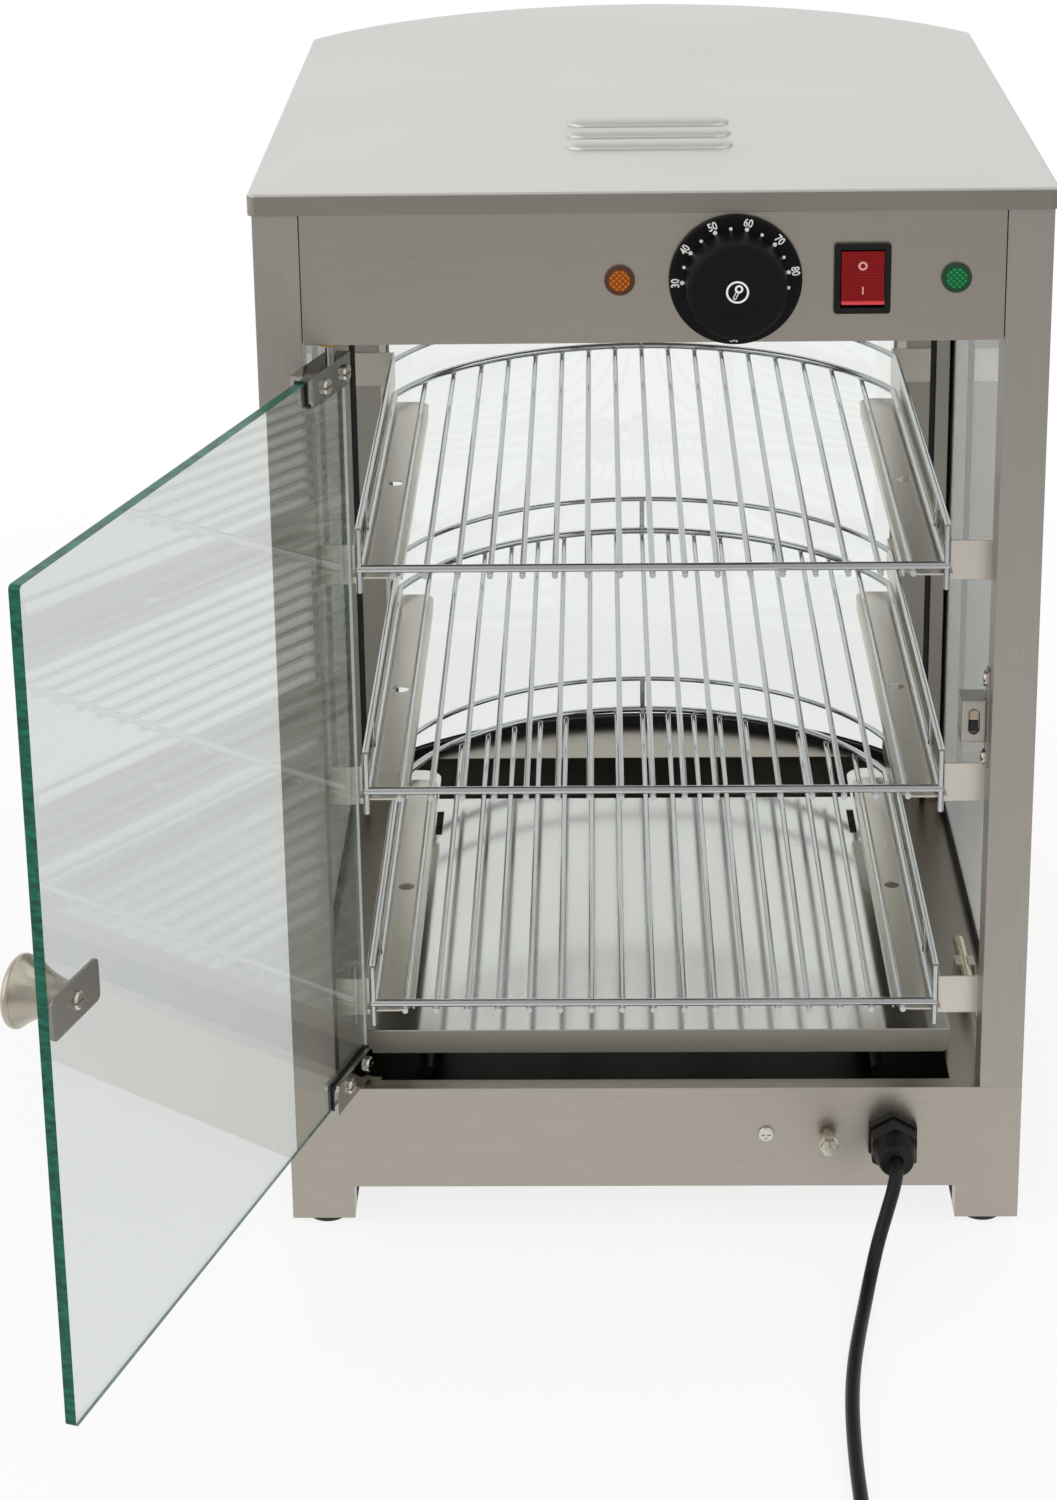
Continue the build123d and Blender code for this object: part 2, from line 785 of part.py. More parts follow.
with BuildPart() as thermostat_knob:
    with BuildSketch(facing_front(grip_base_y + dial_t)):
        with Locations((dial_x, control_z)):
            Circle(dial_d / 2)
    extrude(amount=dial_t)
    chamfer(thermostat_knob.edges().filter_by(GeomType.CIRCLE).group_by(Axis.Y)[0], dial_t / 3)
    with BuildSketch(facing_front(grip_base_y, dial_x, control_z)):
        Circle(grip_d / 2)
    with BuildSketch(facing_front(grip_front_y, dial_x, control_z)):
        Circle(grip_face_d / 2)
    loft()
    fillet(thermostat_knob.edges().filter_by(GeomType.CIRCLE).group_by(Axis.Y)[0], grip_edge_r)
    with BuildSketch(facing_front(grip_front_y, dial_x, control_z)):
        Circle(grip_dimple_d / 2)
    extrude(amount=-running_gap, mode=Mode.SUBTRACT)
    with BuildSketch(facing_front(grip_base_y + dial_t, dial_x, control_z)):
        Circle(bushing_d / 2 + 2 * sheet)
    extrude(amount=front_y - bushing_end + sheet - knob_stand, mode=Mode.SUBTRACT)
    add(thermostat_shaft.part, mode=Mode.SUBTRACT)
save(thermostat_knob.part, "thermostat_knob")

# Rocker switch: housing through the panel, paddle on a cross pin, tipped to off
tilt = radians(paddle_tilt)
bezel_y = front_y - bezel_t
rocker_pivot_y = front_y + rocker_pivot_in
pocket_d = bezel_t + rocker_pivot_in + rocker_pin_d + paddle_h / 2 * sin(tilt) + running_gap
slot_h = paddle_h + 2 * paddle_room
slot_x = paddle_w + 2 * running_gap
with BuildPart() as rocker_housing:
    with BuildSketch(facing_front(front_y)):
        with Locations((rocker_x, control_z)):
            RectangleRounded(bezel_w, bezel_h, 1.5)
    extrude(amount=bezel_t)
    with BuildSketch(facing_front(plate_back_y + switch_l)):
        with Locations((rocker_x, control_z)):
            Rectangle(bezel_w - 2 * sheet - 2 * screw_play, bezel_h - 2 * sheet - 2 * screw_play)
    extrude(amount=switch_l + sheet)
    with BuildSketch(facing_front(bezel_y)):
        with Locations((rocker_x, control_z)):
            Rectangle(slot_x, slot_h)
    extrude(amount=-pocket_d, mode=Mode.SUBTRACT)
    with BuildSketch(facing_right(rocker_x, rocker_pivot_y, control_z)):
        Circle(rocker_pin_d / 2 + shaft_play)
    extrude(amount=slot_x / 2 + sheet, both=True, mode=Mode.SUBTRACT)
save(rocker_housing.part, "rocker_housing")

paddle_plane = Plane(
    origin=(rocker_x - paddle_w / 2, rocker_pivot_y, control_z),
    x_dir=(0, -cos(tilt), sin(tilt)),
    z_dir=(-1, 0, 0),
)
paddle_tip = paddle_f + paddle_h / 2 * tan(tilt)
with BuildPart() as rocker_paddle:
    with BuildSketch(paddle_plane):
        with BuildLine():
            Polyline(
                (-rocker_pin_d, -paddle_h / 2),
                (paddle_tip, -paddle_h / 2),
                (paddle_f, 0),
                (paddle_tip, paddle_h / 2),
                (-rocker_pin_d, paddle_h / 2),
                close=True,
            )
        make_face()
    extrude(amount=-paddle_w)
    with BuildSketch(facing_right(rocker_x, rocker_pivot_y, control_z)):
        Circle(rocker_pin_d / 2)
    extrude(amount=slot_x / 2 + sheet - running_gap, both=True)
save(rocker_paddle.part, "rocker_paddle")

# Pilot lamps: body with its rim through the panel, domed lens in the rim
for name, x in (("power_lamp", power_lamp_x), ("heating_lamp", heating_lamp_x)):
    with BuildPart() as lens:
        with BuildSketch(facing_front(front_y - lamp_rim / 3, x, control_z)):
            Circle(lens_d / 2)
        extrude(amount=lamp_rim)
        fillet(lens.edges().group_by(Axis.Y)[0], lamp_rim * 0.8)
    with BuildPart() as body:
        with BuildSketch(facing_front(front_y, x, control_z)):
            Circle(lamp_d / 2)
        extrude(amount=lamp_rim)
        with BuildSketch(facing_front(plate_back_y + lamp_l, x, control_z)):
            Circle(lamp_body_d / 2)
        extrude(amount=lamp_l + sheet)
        add(lens.part, mode=Mode.SUBTRACT)
    save(lens.part, f"{name}_lens")
    save(body.part, f"{name}_body")

# Rack, drawn at the height of its front bar: front bar, bent loop, guard rail and cross wires
rack_sag = rack_crown_y - rack_corner_y
rack_r = (rack_half**2 + rack_sag**2) / (2 * rack_sag)
rack_arc_y = rack_crown_y - rack_r
wire_drop = bar_d / 2 + wire_d / 2 - weld


def bent_loop(z, front, half, dia):
    """Round wire along both sides and round the bowed far end, at height z."""
    with BuildPart() as loop:
        with BuildLine(Plane.XY.offset(z)) as path:
            Line((-half, front), (-half, rack_corner_y))
            ThreePointArc((-half, rack_corner_y), (0, rack_crown_y), (half, rack_corner_y))
            Line((half, rack_corner_y), (half, front))
            fillet(path.vertices().group_by(Axis.Y)[-1], rack_bend_r)
        with BuildSketch(facing_front(front, -half, z)):
            Circle(dia / 2)
        sweep()
    return loop.part


guard_half = rack_half + (bar_d - wire_d) / 2
with BuildPart() as rack:
    add(bent_loop(0, rack_front_y, rack_half, bar_d))
    add(bent_loop(guard_rise, rack_front_y, guard_half, wire_d))
    with BuildSketch(facing_right(-rack_half - wire_d / 2, rack_front_y)):
        Circle(bar_d / 2)
    extrude(amount=rack_w + wire_d)
    uprights = [
        (sx * guard_half, rack_front_y, -guard_drop, guard_rise + guard_drop) for sx in (-1, 1)
    ]
    uprights += [(sx * guard_half, guard_strut_y, 0, guard_rise) for sx in (-1, 1)]
    uprights += [(0, rack_crown_y, 0, guard_rise)]
    for x, y, z, length in uprights:
        with BuildSketch(Plane((x, y, z))):
            Circle(wire_d / 2)
        extrude(amount=length)
    for k in range(wire_count):
        x = (k - (wire_count - 1) / 2) * wire_pitch
        wire_end_y = rack_arc_y + sqrt(rack_r**2 - x**2)
        with BuildSketch(facing_front(wire_end_y, x, -wire_drop)):
            Circle(wire_d / 2)
        extrude(amount=wire_end_y - rack_front_y + bar_d / 2)
for name, z in zip(rack_names, rack_heights):
    save(rack.part.moved(Location((0, 0, z))), name)

# Rails, drawn at the same height: shelf for the wires, side plate, feet at both posts
rail_top = -wire_drop - wire_d / 2 - rack_rest_gap
with BuildPart() as rail:
    with BuildSketch(Plane.XY.offset(rail_top - sheet)):
        with Locations((web_x + sheet - rail_w / 2 - sheet / 2, (rail_front_y + rail_back_y) / 2)):
            shelf = Rectangle(rail_w + sheet, rail_back_y - rail_front_y)
        fillet(shelf.vertices().group_by(Axis.X)[0], rail_corner_r)
        with Locations((web_x - rail_w / 2, rail_hole_y)):
            Circle(rail_hole_d / 2, mode=Mode.SUBTRACT)
    extrude(amount=sheet)
    with BuildSketch(facing_right(web_x + sheet - rail_w - sheet)):
        with Locations(((rail_front_y + rail_back_y) / 2, rail_top - rail_lip / 2)):
            Rectangle(rail_back_y - rail_front_y - 3 * rail_corner_r, rail_lip)
    extrude(amount=sheet)
    with BuildSketch(facing_right(web_x)):
        with Locations(((post_back_y + rear_post_y) / 2, 0)):
            Rectangle(rear_post_y - post_back_y, rail_tab_h)
    extrude(amount=sheet)
    with BuildSketch(facing_front(post_back_y + sheet)):
        with Locations((web_x + sheet / 2 + rail_foot_w / 2, 0)):
            Rectangle(rail_foot_w + sheet, rail_tab_h)
        with Locations((rail_screw_x, 0)):
            Circle(screw_d / 2 + screw_play, mode=Mode.SUBTRACT)
    extrude(amount=sheet)
    with BuildSketch(facing_front(rear_post_y)):
        with Locations(((web_x + tube_x1) / 2, 0)):
            Rectangle(tube_x1 - web_x, rail_tab_h)
    extrude(amount=sheet)
for level, z in zip(("lower", "middle", "upper"), rack_heights):
    placed = rail.part.moved(Location((0, 0, z)))
    save(placed, f"{level}_right_rail")
    save(mirror(placed, about=Plane.YZ), f"{level}_left_rail")

# Rail screws through the front feet into the posts
with BuildPart() as rail_screws:
    for z in rack_heights:
        for side in (-1, 1):
            at = (side * rail_screw_x, post_back_y + sheet, z)
            add(pan_screw(Plane(origin=at, x_dir=(1, 0, 0), z_dir=(0, 1, 0)), 2.5 * sheet))
save(rail_screws.part, "rail_screws")

# Door, drawn open: s runs along the glass from the pivot, n is its inner face's side
swing = radians(door_open)
door_dir = (cos(swing), -sin(swing), 0)
door_in = (sin(swing), cos(swing), 0)


def door_plane(z):
    """Level plane at z with its origin on the pivot: x along the door, y out of its inner face."""
    return Plane(origin=(pivot_x, pivot_y, z), x_dir=door_dir, z_dir=(0, 0, 1))


def door_point(s, n, z):
    """Point at s along the door, n out of its inner face, at height z."""
    return (
        pivot_x + s * door_dir[0] + n * door_in[0],
        pivot_y + s * door_dir[1] + n * door_in[1],
        z,
    )


def door_face(s, n, z):
    """Upright plane that looks out of the inner face, at s, n and z."""
    return Plane(origin=door_point(s, n, z), x_dir=(-door_dir[0], -door_dir[1], 0), z_dir=door_in)


glass_low = door_bottom + clamp_wall + pad_t
glass_high = door_top - clamp_wall - pad_t
with BuildPart() as door_glass:
    with BuildSketch(door_face(0, -door_t / 2, 0)):
        with Locations((-(door_l - door_tail) / 2, (glass_low + glass_high) / 2)):
            RectangleRounded(door_l + door_tail, glass_high - glass_low, door_corner_r)
        with Locations((-knob_s, knob_z)):
            Circle(screw_d, mode=Mode.SUBTRACT)
    extrude(amount=door_t)
save(door_glass.part, "door_glass")

# Pivot clamps: folded U channels over the glass edges, on soft pads, pinched by pan screws
clamp_mid = clamp_l / 2 - clamp_tail
plate_z = (clamp_h - clamp_wall) / 2
for name, web_z, up in (("lower_hinge_clamp", door_bottom, 1), ("upper_hinge_clamp", door_top, -1)):
    with BuildPart() as clamp:
        with BuildSketch(door_face(0, -clamp_t / 2, web_z)):
            with Locations((-clamp_mid, up * clamp_h / 2)):
                plate = Rectangle(clamp_l, clamp_h)
            free_corners = plate.vertices().group_by(Axis.Y)[-1 if up > 0 else 0]
            fillet(free_corners, clamp_corner_r)
        extrude(amount=clamp_t)
        with BuildSketch(door_face(0, -pad_slot / 2, web_z)):
            with Locations((-clamp_mid, up * (clamp_wall + clamp_h / 2))):
                Rectangle(clamp_l, clamp_h)
        extrude(amount=pad_slot, mode=Mode.SUBTRACT)
        with BuildSketch(door_plane(web_z)):
            Circle(pin_d / 2)
        extrude(amount=up * clamp_wall, mode=Mode.SUBTRACT)
        with BuildSketch(door_face(0, pad_slot / 2, web_z)):
            with Locations(*[(-s, up * (clamp_wall + plate_z)) for s in clamp_screw_s]):
                Circle(screw_d / 2 + screw_play)
        extrude(amount=clamp_wall, mode=Mode.SUBTRACT)
    save(clamp.part, name)

with BuildPart() as clamp_pads:
    for web_z, up in ((door_bottom, 1), (door_top, -1)):
        with BuildSketch(door_face(0, -pad_slot / 2, web_z + up * clamp_wall)):
            with Locations((-clamp_mid, up * (clamp_h - clamp_wall) / 2)):
                Rectangle(clamp_l, clamp_h - clamp_wall)
        extrude(amount=pad_slot)
    add(door_glass.part, mode=Mode.SUBTRACT)
save(clamp_pads.part, "clamp_pads")

with BuildPart() as clamp_screws:
    for web_z, up in ((door_bottom, 1), (door_top, -1)):
        for s in clamp_screw_s:
            add(pan_screw(door_face(s, clamp_t / 2, web_z + up * (clamp_wall + plate_z)), clamp_wall))
save(clamp_screws.part, "clamp_screws")

# Pins in the clamps, turning in flanged bushes in the deck plate and the panel's lip
bush_gap = pin_d / 2 + shaft_play
lower_bush_z = deck_z - sheet - bush_l
upper_bush_z = head_z + bush_l
with BuildPart() as hinge_pins:
    with BuildSketch(Plane((pivot_x, pivot_y, lower_bush_z))):
        Circle(pin_d / 2)
    extrude(amount=door_bottom + clamp_wall - lower_bush_z)
    with BuildSketch(Plane((pivot_x, pivot_y, door_top - clamp_wall))):
        Circle(pin_d / 2)
    extrude(amount=upper_bush_z - door_top + clamp_wall)
save(hinge_pins.part, "hinge_pins")

with BuildPart() as hinge_bushes:
    with BuildSketch(Plane((pivot_x, pivot_y, lower_bush_z))):
        Circle(bush_d / 2)
    extrude(amount=deck_z - lower_bush_z)
    with BuildSketch(Plane((pivot_x, pivot_y, deck_z))):
        Circle(bush_d / 2 + bush_flange_w)
    extrude(amount=bush_flange)
    with BuildSketch(Plane((pivot_x, pivot_y, head_z - bush_flange))):
        Circle(bush_d / 2 + bush_flange_w)
    extrude(amount=bush_flange)
    with BuildSketch(Plane((pivot_x, pivot_y, head_z))):
        Circle(bush_d / 2)
    extrude(amount=bush_l)
    with BuildSketch(Plane((pivot_x, pivot_y, lower_bush_z))):
        Circle(bush_gap)
    extrude(amount=upper_bush_z - lower_bush_z, mode=Mode.SUBTRACT)
save(hinge_bushes.part, "hinge_bushes")

# Plate under the sill that backs the lower bush
hinge_plate_y = pivot_y - front_y + bush_d
with BuildPart() as lower_hinge_plate:
    with BuildSketch(Plane.XY.offset(deck_z - sheet - hinge_plate_t)):
        add(box_zone(-post_in, pivot_x + pivot_from_post, plate_back_y, front_y + hinge_plate_y))
        with Locations(pivot):
            Circle(bush_d / 2, mode=Mode.SUBTRACT)
    extrude(amount=hinge_plate_t)
save(lower_hinge_plate.part, "lower_hinge_plate")

# Door knob on the outer face, strike plate on the inner face, one screw through both
knob_half = door_knob_d / 2
neck_half = door_knob_neck_d / 2
knob_rim = door_knob_rim
knob_dish = knob_rim / 2
knob_plane = Plane(origin=door_point(knob_s, -door_t / 2, knob_z), x_dir=(0, 0, 1), z_dir=door_dir)
strike_screw_l = strike_t + door_t + door_knob_l / 2
strike_part = pan_screw(door_face(knob_s, door_t / 2 + strike_t, knob_z), strike_screw_l)
save(strike_part, "strike_screw")

with BuildPart() as door_knob:
    with BuildSketch(knob_plane):
        with BuildLine():
            Polyline((0, door_knob_l - knob_dish), (0, 0), (neck_half, 0), (neck_half, knob_rim))
            ThreePointArc(
                (neck_half, knob_rim),
                ((neck_half + knob_half) / 2 - knob_dish, door_knob_l / 2),
                (knob_half - knob_dish, door_knob_l - 2 * knob_rim),
            )
            ThreePointArc(
                (knob_half - knob_dish, door_knob_l - 2 * knob_rim),
                (knob_half, door_knob_l - knob_rim),
                (knob_half - knob_rim, door_knob_l),
            )
            Polyline(
                (knob_half - knob_rim, door_knob_l),
                (knob_half - 2 * knob_rim, door_knob_l - knob_dish),
                (0, door_knob_l - knob_dish),
            )
        make_face()
    revolve(axis=Axis(door_point(knob_s, 0, knob_z), door_in))
    add(strike_part, mode=Mode.SUBTRACT)
save(door_knob.part, "door_knob")

with BuildPart() as strike_plate:
    with BuildSketch(door_face(knob_s, door_t / 2, knob_z)):
        RectangleRounded(strike_l, strike_h, strike_corner_r)
        Circle(screw_d / 2 + screw_play, mode=Mode.SUBTRACT)
    extrude(amount=strike_t)
save(strike_plate.part, "strike_plate")

# Magnetic catch inside the right front post, with its two screws
catch_right = post_in - catch_tab_t
with BuildPart() as magnetic_catch:
    with BuildSketch(facing_front(catch_y + catch_d, catch_right - catch_w / 2, knob_z)):
        Rectangle(catch_w, catch_h)
    extrude(amount=catch_d)
    fillet(magnetic_catch.edges().group_by(Axis.Y)[0], catch_w / 10)
    with BuildSketch(facing_front(catch_y, catch_right - catch_w / 2, knob_z)):
        SlotOverall(catch_slot_h, catch_slot_w, rotation=90)
    extrude(amount=-catch_slot_d, mode=Mode.SUBTRACT)
    with BuildSketch(facing_right(catch_right, catch_tab_y, knob_z)):
        RectangleRounded(catch_tab_d, catch_screw_pitch + pan_d + 2 * sheet, catch_tab_d / 4)
        with Locations((0, catch_screw_z), (0, -catch_screw_z)):
            Circle(screw_d / 2 + screw_play, mode=Mode.SUBTRACT)
    extrude(amount=catch_tab_t)
save(magnetic_catch.part, "magnetic_catch")

with BuildPart() as catch_screws:
    for side in (-1, 1):
        at = (catch_right, catch_tab_y, knob_z + side * catch_screw_z)
        add(pan_screw(Plane(origin=at, x_dir=(0, 1, 0), z_dir=(-1, 0, 0)), catch_tab_t + 2 * sheet))
save(catch_screws.part, "catch_screws")

# Temperature sensor on the deck at the right, its clip, and the capillary up to the thermostat
bulb_z = deck_z + bulb_rise
bulb_front = bulb_y - bulb_l / 2
with BuildPart() as bulb_clip:
    with BuildSketch(facing_front(bulb_y + bulb_clip_l / 2, bulb_x, deck_z)):
        with Locations((0, bulb_rise / 2 + bulb_d / 4)):
            Rectangle(bulb_clip_w, bulb_rise + bulb_d / 2)
    extrude(amount=bulb_clip_l)
    with BuildSketch(facing_front(bulb_y + bulb_clip_l / 2, bulb_x, bulb_z)):
        Circle(bulb_d / 2)
        with Locations((0, bulb_d / 4)):
            Rectangle(bulb_d / 2, bulb_d / 2 + sheet)
    extrude(amount=bulb_clip_l, mode=Mode.SUBTRACT)
save(bulb_clip.part, "bulb_clip")

capillary_turn_x = post_in - 4 * capillary_bend_r
capillary_route = [
    (bulb_x, bulb_front, bulb_z),
    (bulb_x, capillary_y, bulb_z),
    (bulb_x, capillary_y, capillary_top_z),
    (capillary_turn_x, capillary_y, capillary_top_z),
    (capillary_turn_x + capillary_y - capillary_back_y, capillary_back_y, capillary_top_z),
    (dial_x + thermostat_w / 2, capillary_back_y, capillary_top_z),
]
with BuildPart() as sensing_bulb:
    with BuildLine():
        FilletPolyline(*capillary_route, radius=capillary_bend_r)
    with BuildSketch(facing_front(bulb_front, bulb_x, bulb_z)):
        Circle(capillary_d / 2)
    sweep()
    with BuildSketch(facing_front(bulb_front + bulb_l, bulb_x, bulb_z)) as bulb_end:
        Circle(bulb_d / 2)
    bulb = extrude(amount=bulb_l)
    fillet(bulb.edges().filter_by(GeomType.CIRCLE).group_by(Axis.Y)[-1], bulb_d / 4)
save(sensing_bulb.part, "sensing_bulb")

# Screw and earth stud in the base front
base_screw_at = Plane(origin=(base_screw_x, front_y, base_screw_z), x_dir=(1, 0, 0), z_dir=(0, -1, 0))
stud_l = 4 * earth_nut_h
with BuildPart() as base_fasteners:
    add(pan_screw(base_screw_at, screw_d * 2, cross=True))
    with BuildSketch(facing_front(plate_back_y + earth_nut_h, earth_x, earth_z)):
        Circle(earth_d / 2)
    extrude(amount=stud_l + sheet + earth_nut_h)
    for y, thick in (
        (plate_back_y + earth_nut_h, earth_nut_h),
        (front_y - stud_l / 4, earth_nut_h),
        (front_y - stud_l / 2 - sheet, earth_nut_h),
    ):
        with BuildSketch(facing_front(y, earth_x, earth_z)):
            RegularPolygon(earth_nut_af / 2, 6, major_radius=False)
        extrude(amount=thick)
    with BuildSketch(facing_front(front_y - stud_l / 2, earth_x, earth_z)):
        Circle(earth_nut_af / 2 + sheet)
    extrude(amount=sheet)
save(base_fasteners.part, "base_fasteners")

# Cable gland: hex flange and domed hex nut in front, thread and nut behind the sheet
dome_y = front_y - gland_flange_t - gland_l / 2 + gland_flange_t / 2
gland_end_y = front_y - gland_l
gland_back_y = front_y + gland_inside
with BuildPart() as cable_gland:
    with BuildSketch(facing_front(front_y, gland_x, gland_z)):
        RegularPolygon(gland_af / 2, 6, major_radius=False, rotation=30)
    extrude(amount=gland_flange_t)
    with BuildSketch(facing_front(front_y - gland_flange_t, gland_x, gland_z)):
        RegularPolygon(gland_af / 2 - sheet, 6, major_radius=False, rotation=30)
    extrude(amount=front_y - gland_flange_t - dome_y)
    with BuildSketch(facing_front(dome_y, gland_x, gland_z)):
        Circle(gland_af / 2 - sheet)
    with BuildSketch(facing_front(gland_end_y, gland_x, gland_z)):
        Circle(gland_mouth_d / 2)
    loft()
    fillet(cable_gland.edges().group_by(Axis.Y)[0], sheet)
    with BuildSketch(facing_front(gland_back_y, gland_x, gland_z)):
        Circle(gland_thread_d / 2)
    extrude(amount=gland_inside)
    with BuildSketch(facing_front(plate_back_y + gland_nut_t, gland_x, gland_z)):
        RegularPolygon(gland_af / 2 - sheet, 6, major_radius=False)
    extrude(amount=gland_nut_t)
    with BuildSketch(facing_front(gland_back_y, gland_x, gland_z)):
        Circle(cord_d / 2 + screw_play)
    extrude(amount=gland_inside + gland_l, mode=Mode.SUBTRACT)
save(cable_gland.part, "cable_gland")

# Terminal block behind the gland; the lead's end through the gland and the sleeve up the post
with BuildPart() as terminal_block:
    with BuildSketch(Plane.XY.offset(floor_top)):
        add(box_zone(gland_x - block_w / 2, gland_x + block_w / 2, gland_back_y, gland_back_y + block_d))
    extrude(amount=block_h)
save(terminal_block.part, "terminal_block")

block_right = gland_x + block_w / 2
sleeve_z = floor_top + block_h / 2
sleeve_route = [
    (block_right, sleeve_y, sleeve_z),
    (sleeve_x, sleeve_y, sleeve_z),
    (sleeve_x, sleeve_y, sleeve_top_z),
    (post_in - sleeve_bend_r, sleeve_y, sleeve_top_z),
]
cord_start_y = gland_end_y + cord_d
with BuildPart() as inner_wiring:
    with BuildLine():
        FilletPolyline(*sleeve_route, radius=sleeve_bend_r)
    with BuildSketch(facing_right(block_right, sleeve_y, sleeve_z)):
        Circle(sleeve_d / 2)
    sweep()
    with BuildSketch(facing_front(gland_back_y, gland_x, gland_z)):
        Circle(cord_d / 2)
    extrude(amount=gland_back_y - cord_start_y)
save(inner_wiring.part, "inner_wiring")

# Mains lead: out of the gland, down to the table and towards the operator, then the coil
cord_z = cord_d / 2 + cord_lift
cord_route = [
    (gland_x, cord_start_y, gland_z),
    (gland_x, -216.8, gland_z),
    (116.9, -224.2, 43.2),
    (113.0, -229.0, 31.8),
    (108.6, -234.8, 19.4),
    (104.4, -246.2, 8.9),
    (100.2, -264.0, cord_z),
    (95.4, -289.0, cord_z),
    (90.8, -316.0, cord_z),
    (87.8, -344.0, cord_z),
    (86.4, -374.0, cord_z),
    (86.0, -408.0, cord_z),
    (coil_x, -450.0, cord_z),
    (coil_x, coil_y + cord_d, cord_z),
]
cord_points = [Vector(p) for p in cord_route]
cord_radii = []
for before, at, after in zip(cord_points, cord_points[1:], cord_points[2:]):
    run_in = at - before
    run_out = after - at
    turn = radians(run_in.get_angle(run_out))
    cord_radii.append(0.45 * min(run_in.length, run_out.length) / tan(turn / 2))
print("cord radii", [round(r, 1) for r in cord_radii])
with BuildPart() as power_cord:
    with BuildLine() as cord_path:
        FilletPolyline(*cord_route, radius=cord_radii)
    with BuildSketch(facing_front(cord_start_y, gland_x, gland_z)):
        Circle(cord_d / 2)
    sweep()
cord_length = cord_path.wire().length
cord_tube = pi * cord_d**2 / 4 * cord_length
print("cord length", round(cord_length, 1))
print("cord volume over section times length", round(power_cord.part.volume / cord_tube, 4))
save(power_cord.part, "power_cord")

# Coil of the lead: half turns spiral in, one climbs, half turns spiral out on top, then a lead-out
coil_radii = [coil_r - k * coil_step for k in range(coil_halves)]
coil_turns = [(r, 0) for r in coil_radii]
coil_turns += [(coil_radii[-1] - coil_step, coil_layer)]
coil_turns += [(r, 0) for r in reversed(coil_radii[1:])]
x = coil_x
z = cord_z
heading = -1
with BuildPart() as cord_coil:
    with BuildLine() as coil_path:
        Line((x, coil_y + cord_d, z), (x, coil_y, z))
        for r, rise in coil_turns:
            end = (x - 2 * r * heading, coil_y, z + rise)
            reach = heading * sqrt(r**2 + (rise / 2) ** 2)
            ThreePointArc((x, coil_y, z), (x - r * heading, coil_y + reach, z + rise / 2), end)
            x, z = end[0], end[2]
            heading = -heading
        lead_out = RadiusArc((x, coil_y, z), (x - lead_out_r, coil_y - lead_out_r, z), lead_out_r)
        plug_start = lead_out @ 1 + (lead_out % 1) * cord_d
        Line(lead_out @ 1, plug_start)
    with BuildSketch(facing_front(coil_y + cord_d, coil_x, cord_z)):
        Circle(cord_d / 2)
    sweep()
coil_wire = coil_path.wire()
coil_steps = 900
coil_points = [coil_wire.position_at(k / coil_steps) for k in range(coil_steps + 1)]
half_turn_steps = int(pi * coil_radii[-1] / coil_wire.length * coil_steps)
coil_gap = min(
    (here - there).length - cord_d
    for k, here in enumerate(coil_points)
    for there in coil_points[k + half_turn_steps :]
)
print("coil length", round(coil_wire.length, 1), "least gap of its turns", round(coil_gap, 2))
coil_tube = pi * cord_d**2 / 4 * coil_wire.length
print("coil volume over section times length", round(cord_coil.part.volume / coil_tube, 4))
save(cord_coil.part, "cord_coil")

# Plug at the end of the coil, lying flat, its blades away from the coil
relief_l = plug_l / 3
plug_t = 2 * (plug_start.Z - cord_lift)


def plug_plane(ahead):
    """Upright plane across the plug's length, that far ahead of the lead's end."""
    return Plane(origin=plug_start - Vector(ahead, 0, 0), x_dir=(0, -1, 0), z_dir=(-1, 0, 0))


with BuildPart() as mains_plug:
    with BuildSketch(plug_plane(0)):
        Circle(cord_d / 2 + sheet)
    with BuildSketch(plug_plane(relief_l)):
        Circle(cord_d)
    loft()
    with BuildSketch(plug_plane(relief_l)):
        RectangleRounded(plug_w, plug_t, plug_t / 4)
    extrude(amount=plug_l)
    with BuildSketch(plug_plane(relief_l + plug_l)):
        with Locations((plug_w / 6, blade_spread / 2), (plug_w / 6, -blade_spread / 2)):
            Rectangle(blade_w, blade_t)
        with Locations((-plug_w / 4, 0)):
            Circle(earth_pin_d / 2)
    extrude(amount=blade_l)
save(mains_plug.part, "mains_plug")
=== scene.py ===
# %% [markdown]
# # A heated display case, dressed in Blender
# The case stands on a counter with its open glass door towards us. The CAD model gives every rigid
# piece its shape and its place. This notebook adds what CAD leaves out: the finish of each sheet,
# the wires, the printed marks, the cord and the light.

# %% Load the frame
import math
import bmesh
import bpy
from mathutils import Matrix, Vector


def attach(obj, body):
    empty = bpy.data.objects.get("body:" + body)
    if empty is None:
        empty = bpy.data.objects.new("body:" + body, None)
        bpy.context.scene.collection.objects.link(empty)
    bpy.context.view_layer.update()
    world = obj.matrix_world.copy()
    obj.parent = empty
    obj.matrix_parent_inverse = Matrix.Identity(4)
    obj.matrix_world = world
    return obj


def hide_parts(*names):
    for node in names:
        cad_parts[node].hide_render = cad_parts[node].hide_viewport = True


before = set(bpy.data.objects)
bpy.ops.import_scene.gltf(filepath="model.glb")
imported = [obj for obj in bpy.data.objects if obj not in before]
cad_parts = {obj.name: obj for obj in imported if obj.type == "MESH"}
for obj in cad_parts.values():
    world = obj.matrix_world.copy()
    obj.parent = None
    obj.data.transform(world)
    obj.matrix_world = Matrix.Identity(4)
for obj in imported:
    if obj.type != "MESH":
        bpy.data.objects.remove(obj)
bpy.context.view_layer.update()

MM = 0.001

# %% [markdown]
# ## Small helpers
# A colour is written as the hex value that a paint chart or a photo editor gives, and one function
# turns it to the linear numbers that Blender's sockets hold. One more function adds a node to any
# tree, sets what it is told and links what it is given, so that each material reads as a short list.
# The last one puts new data into the scene as an object.

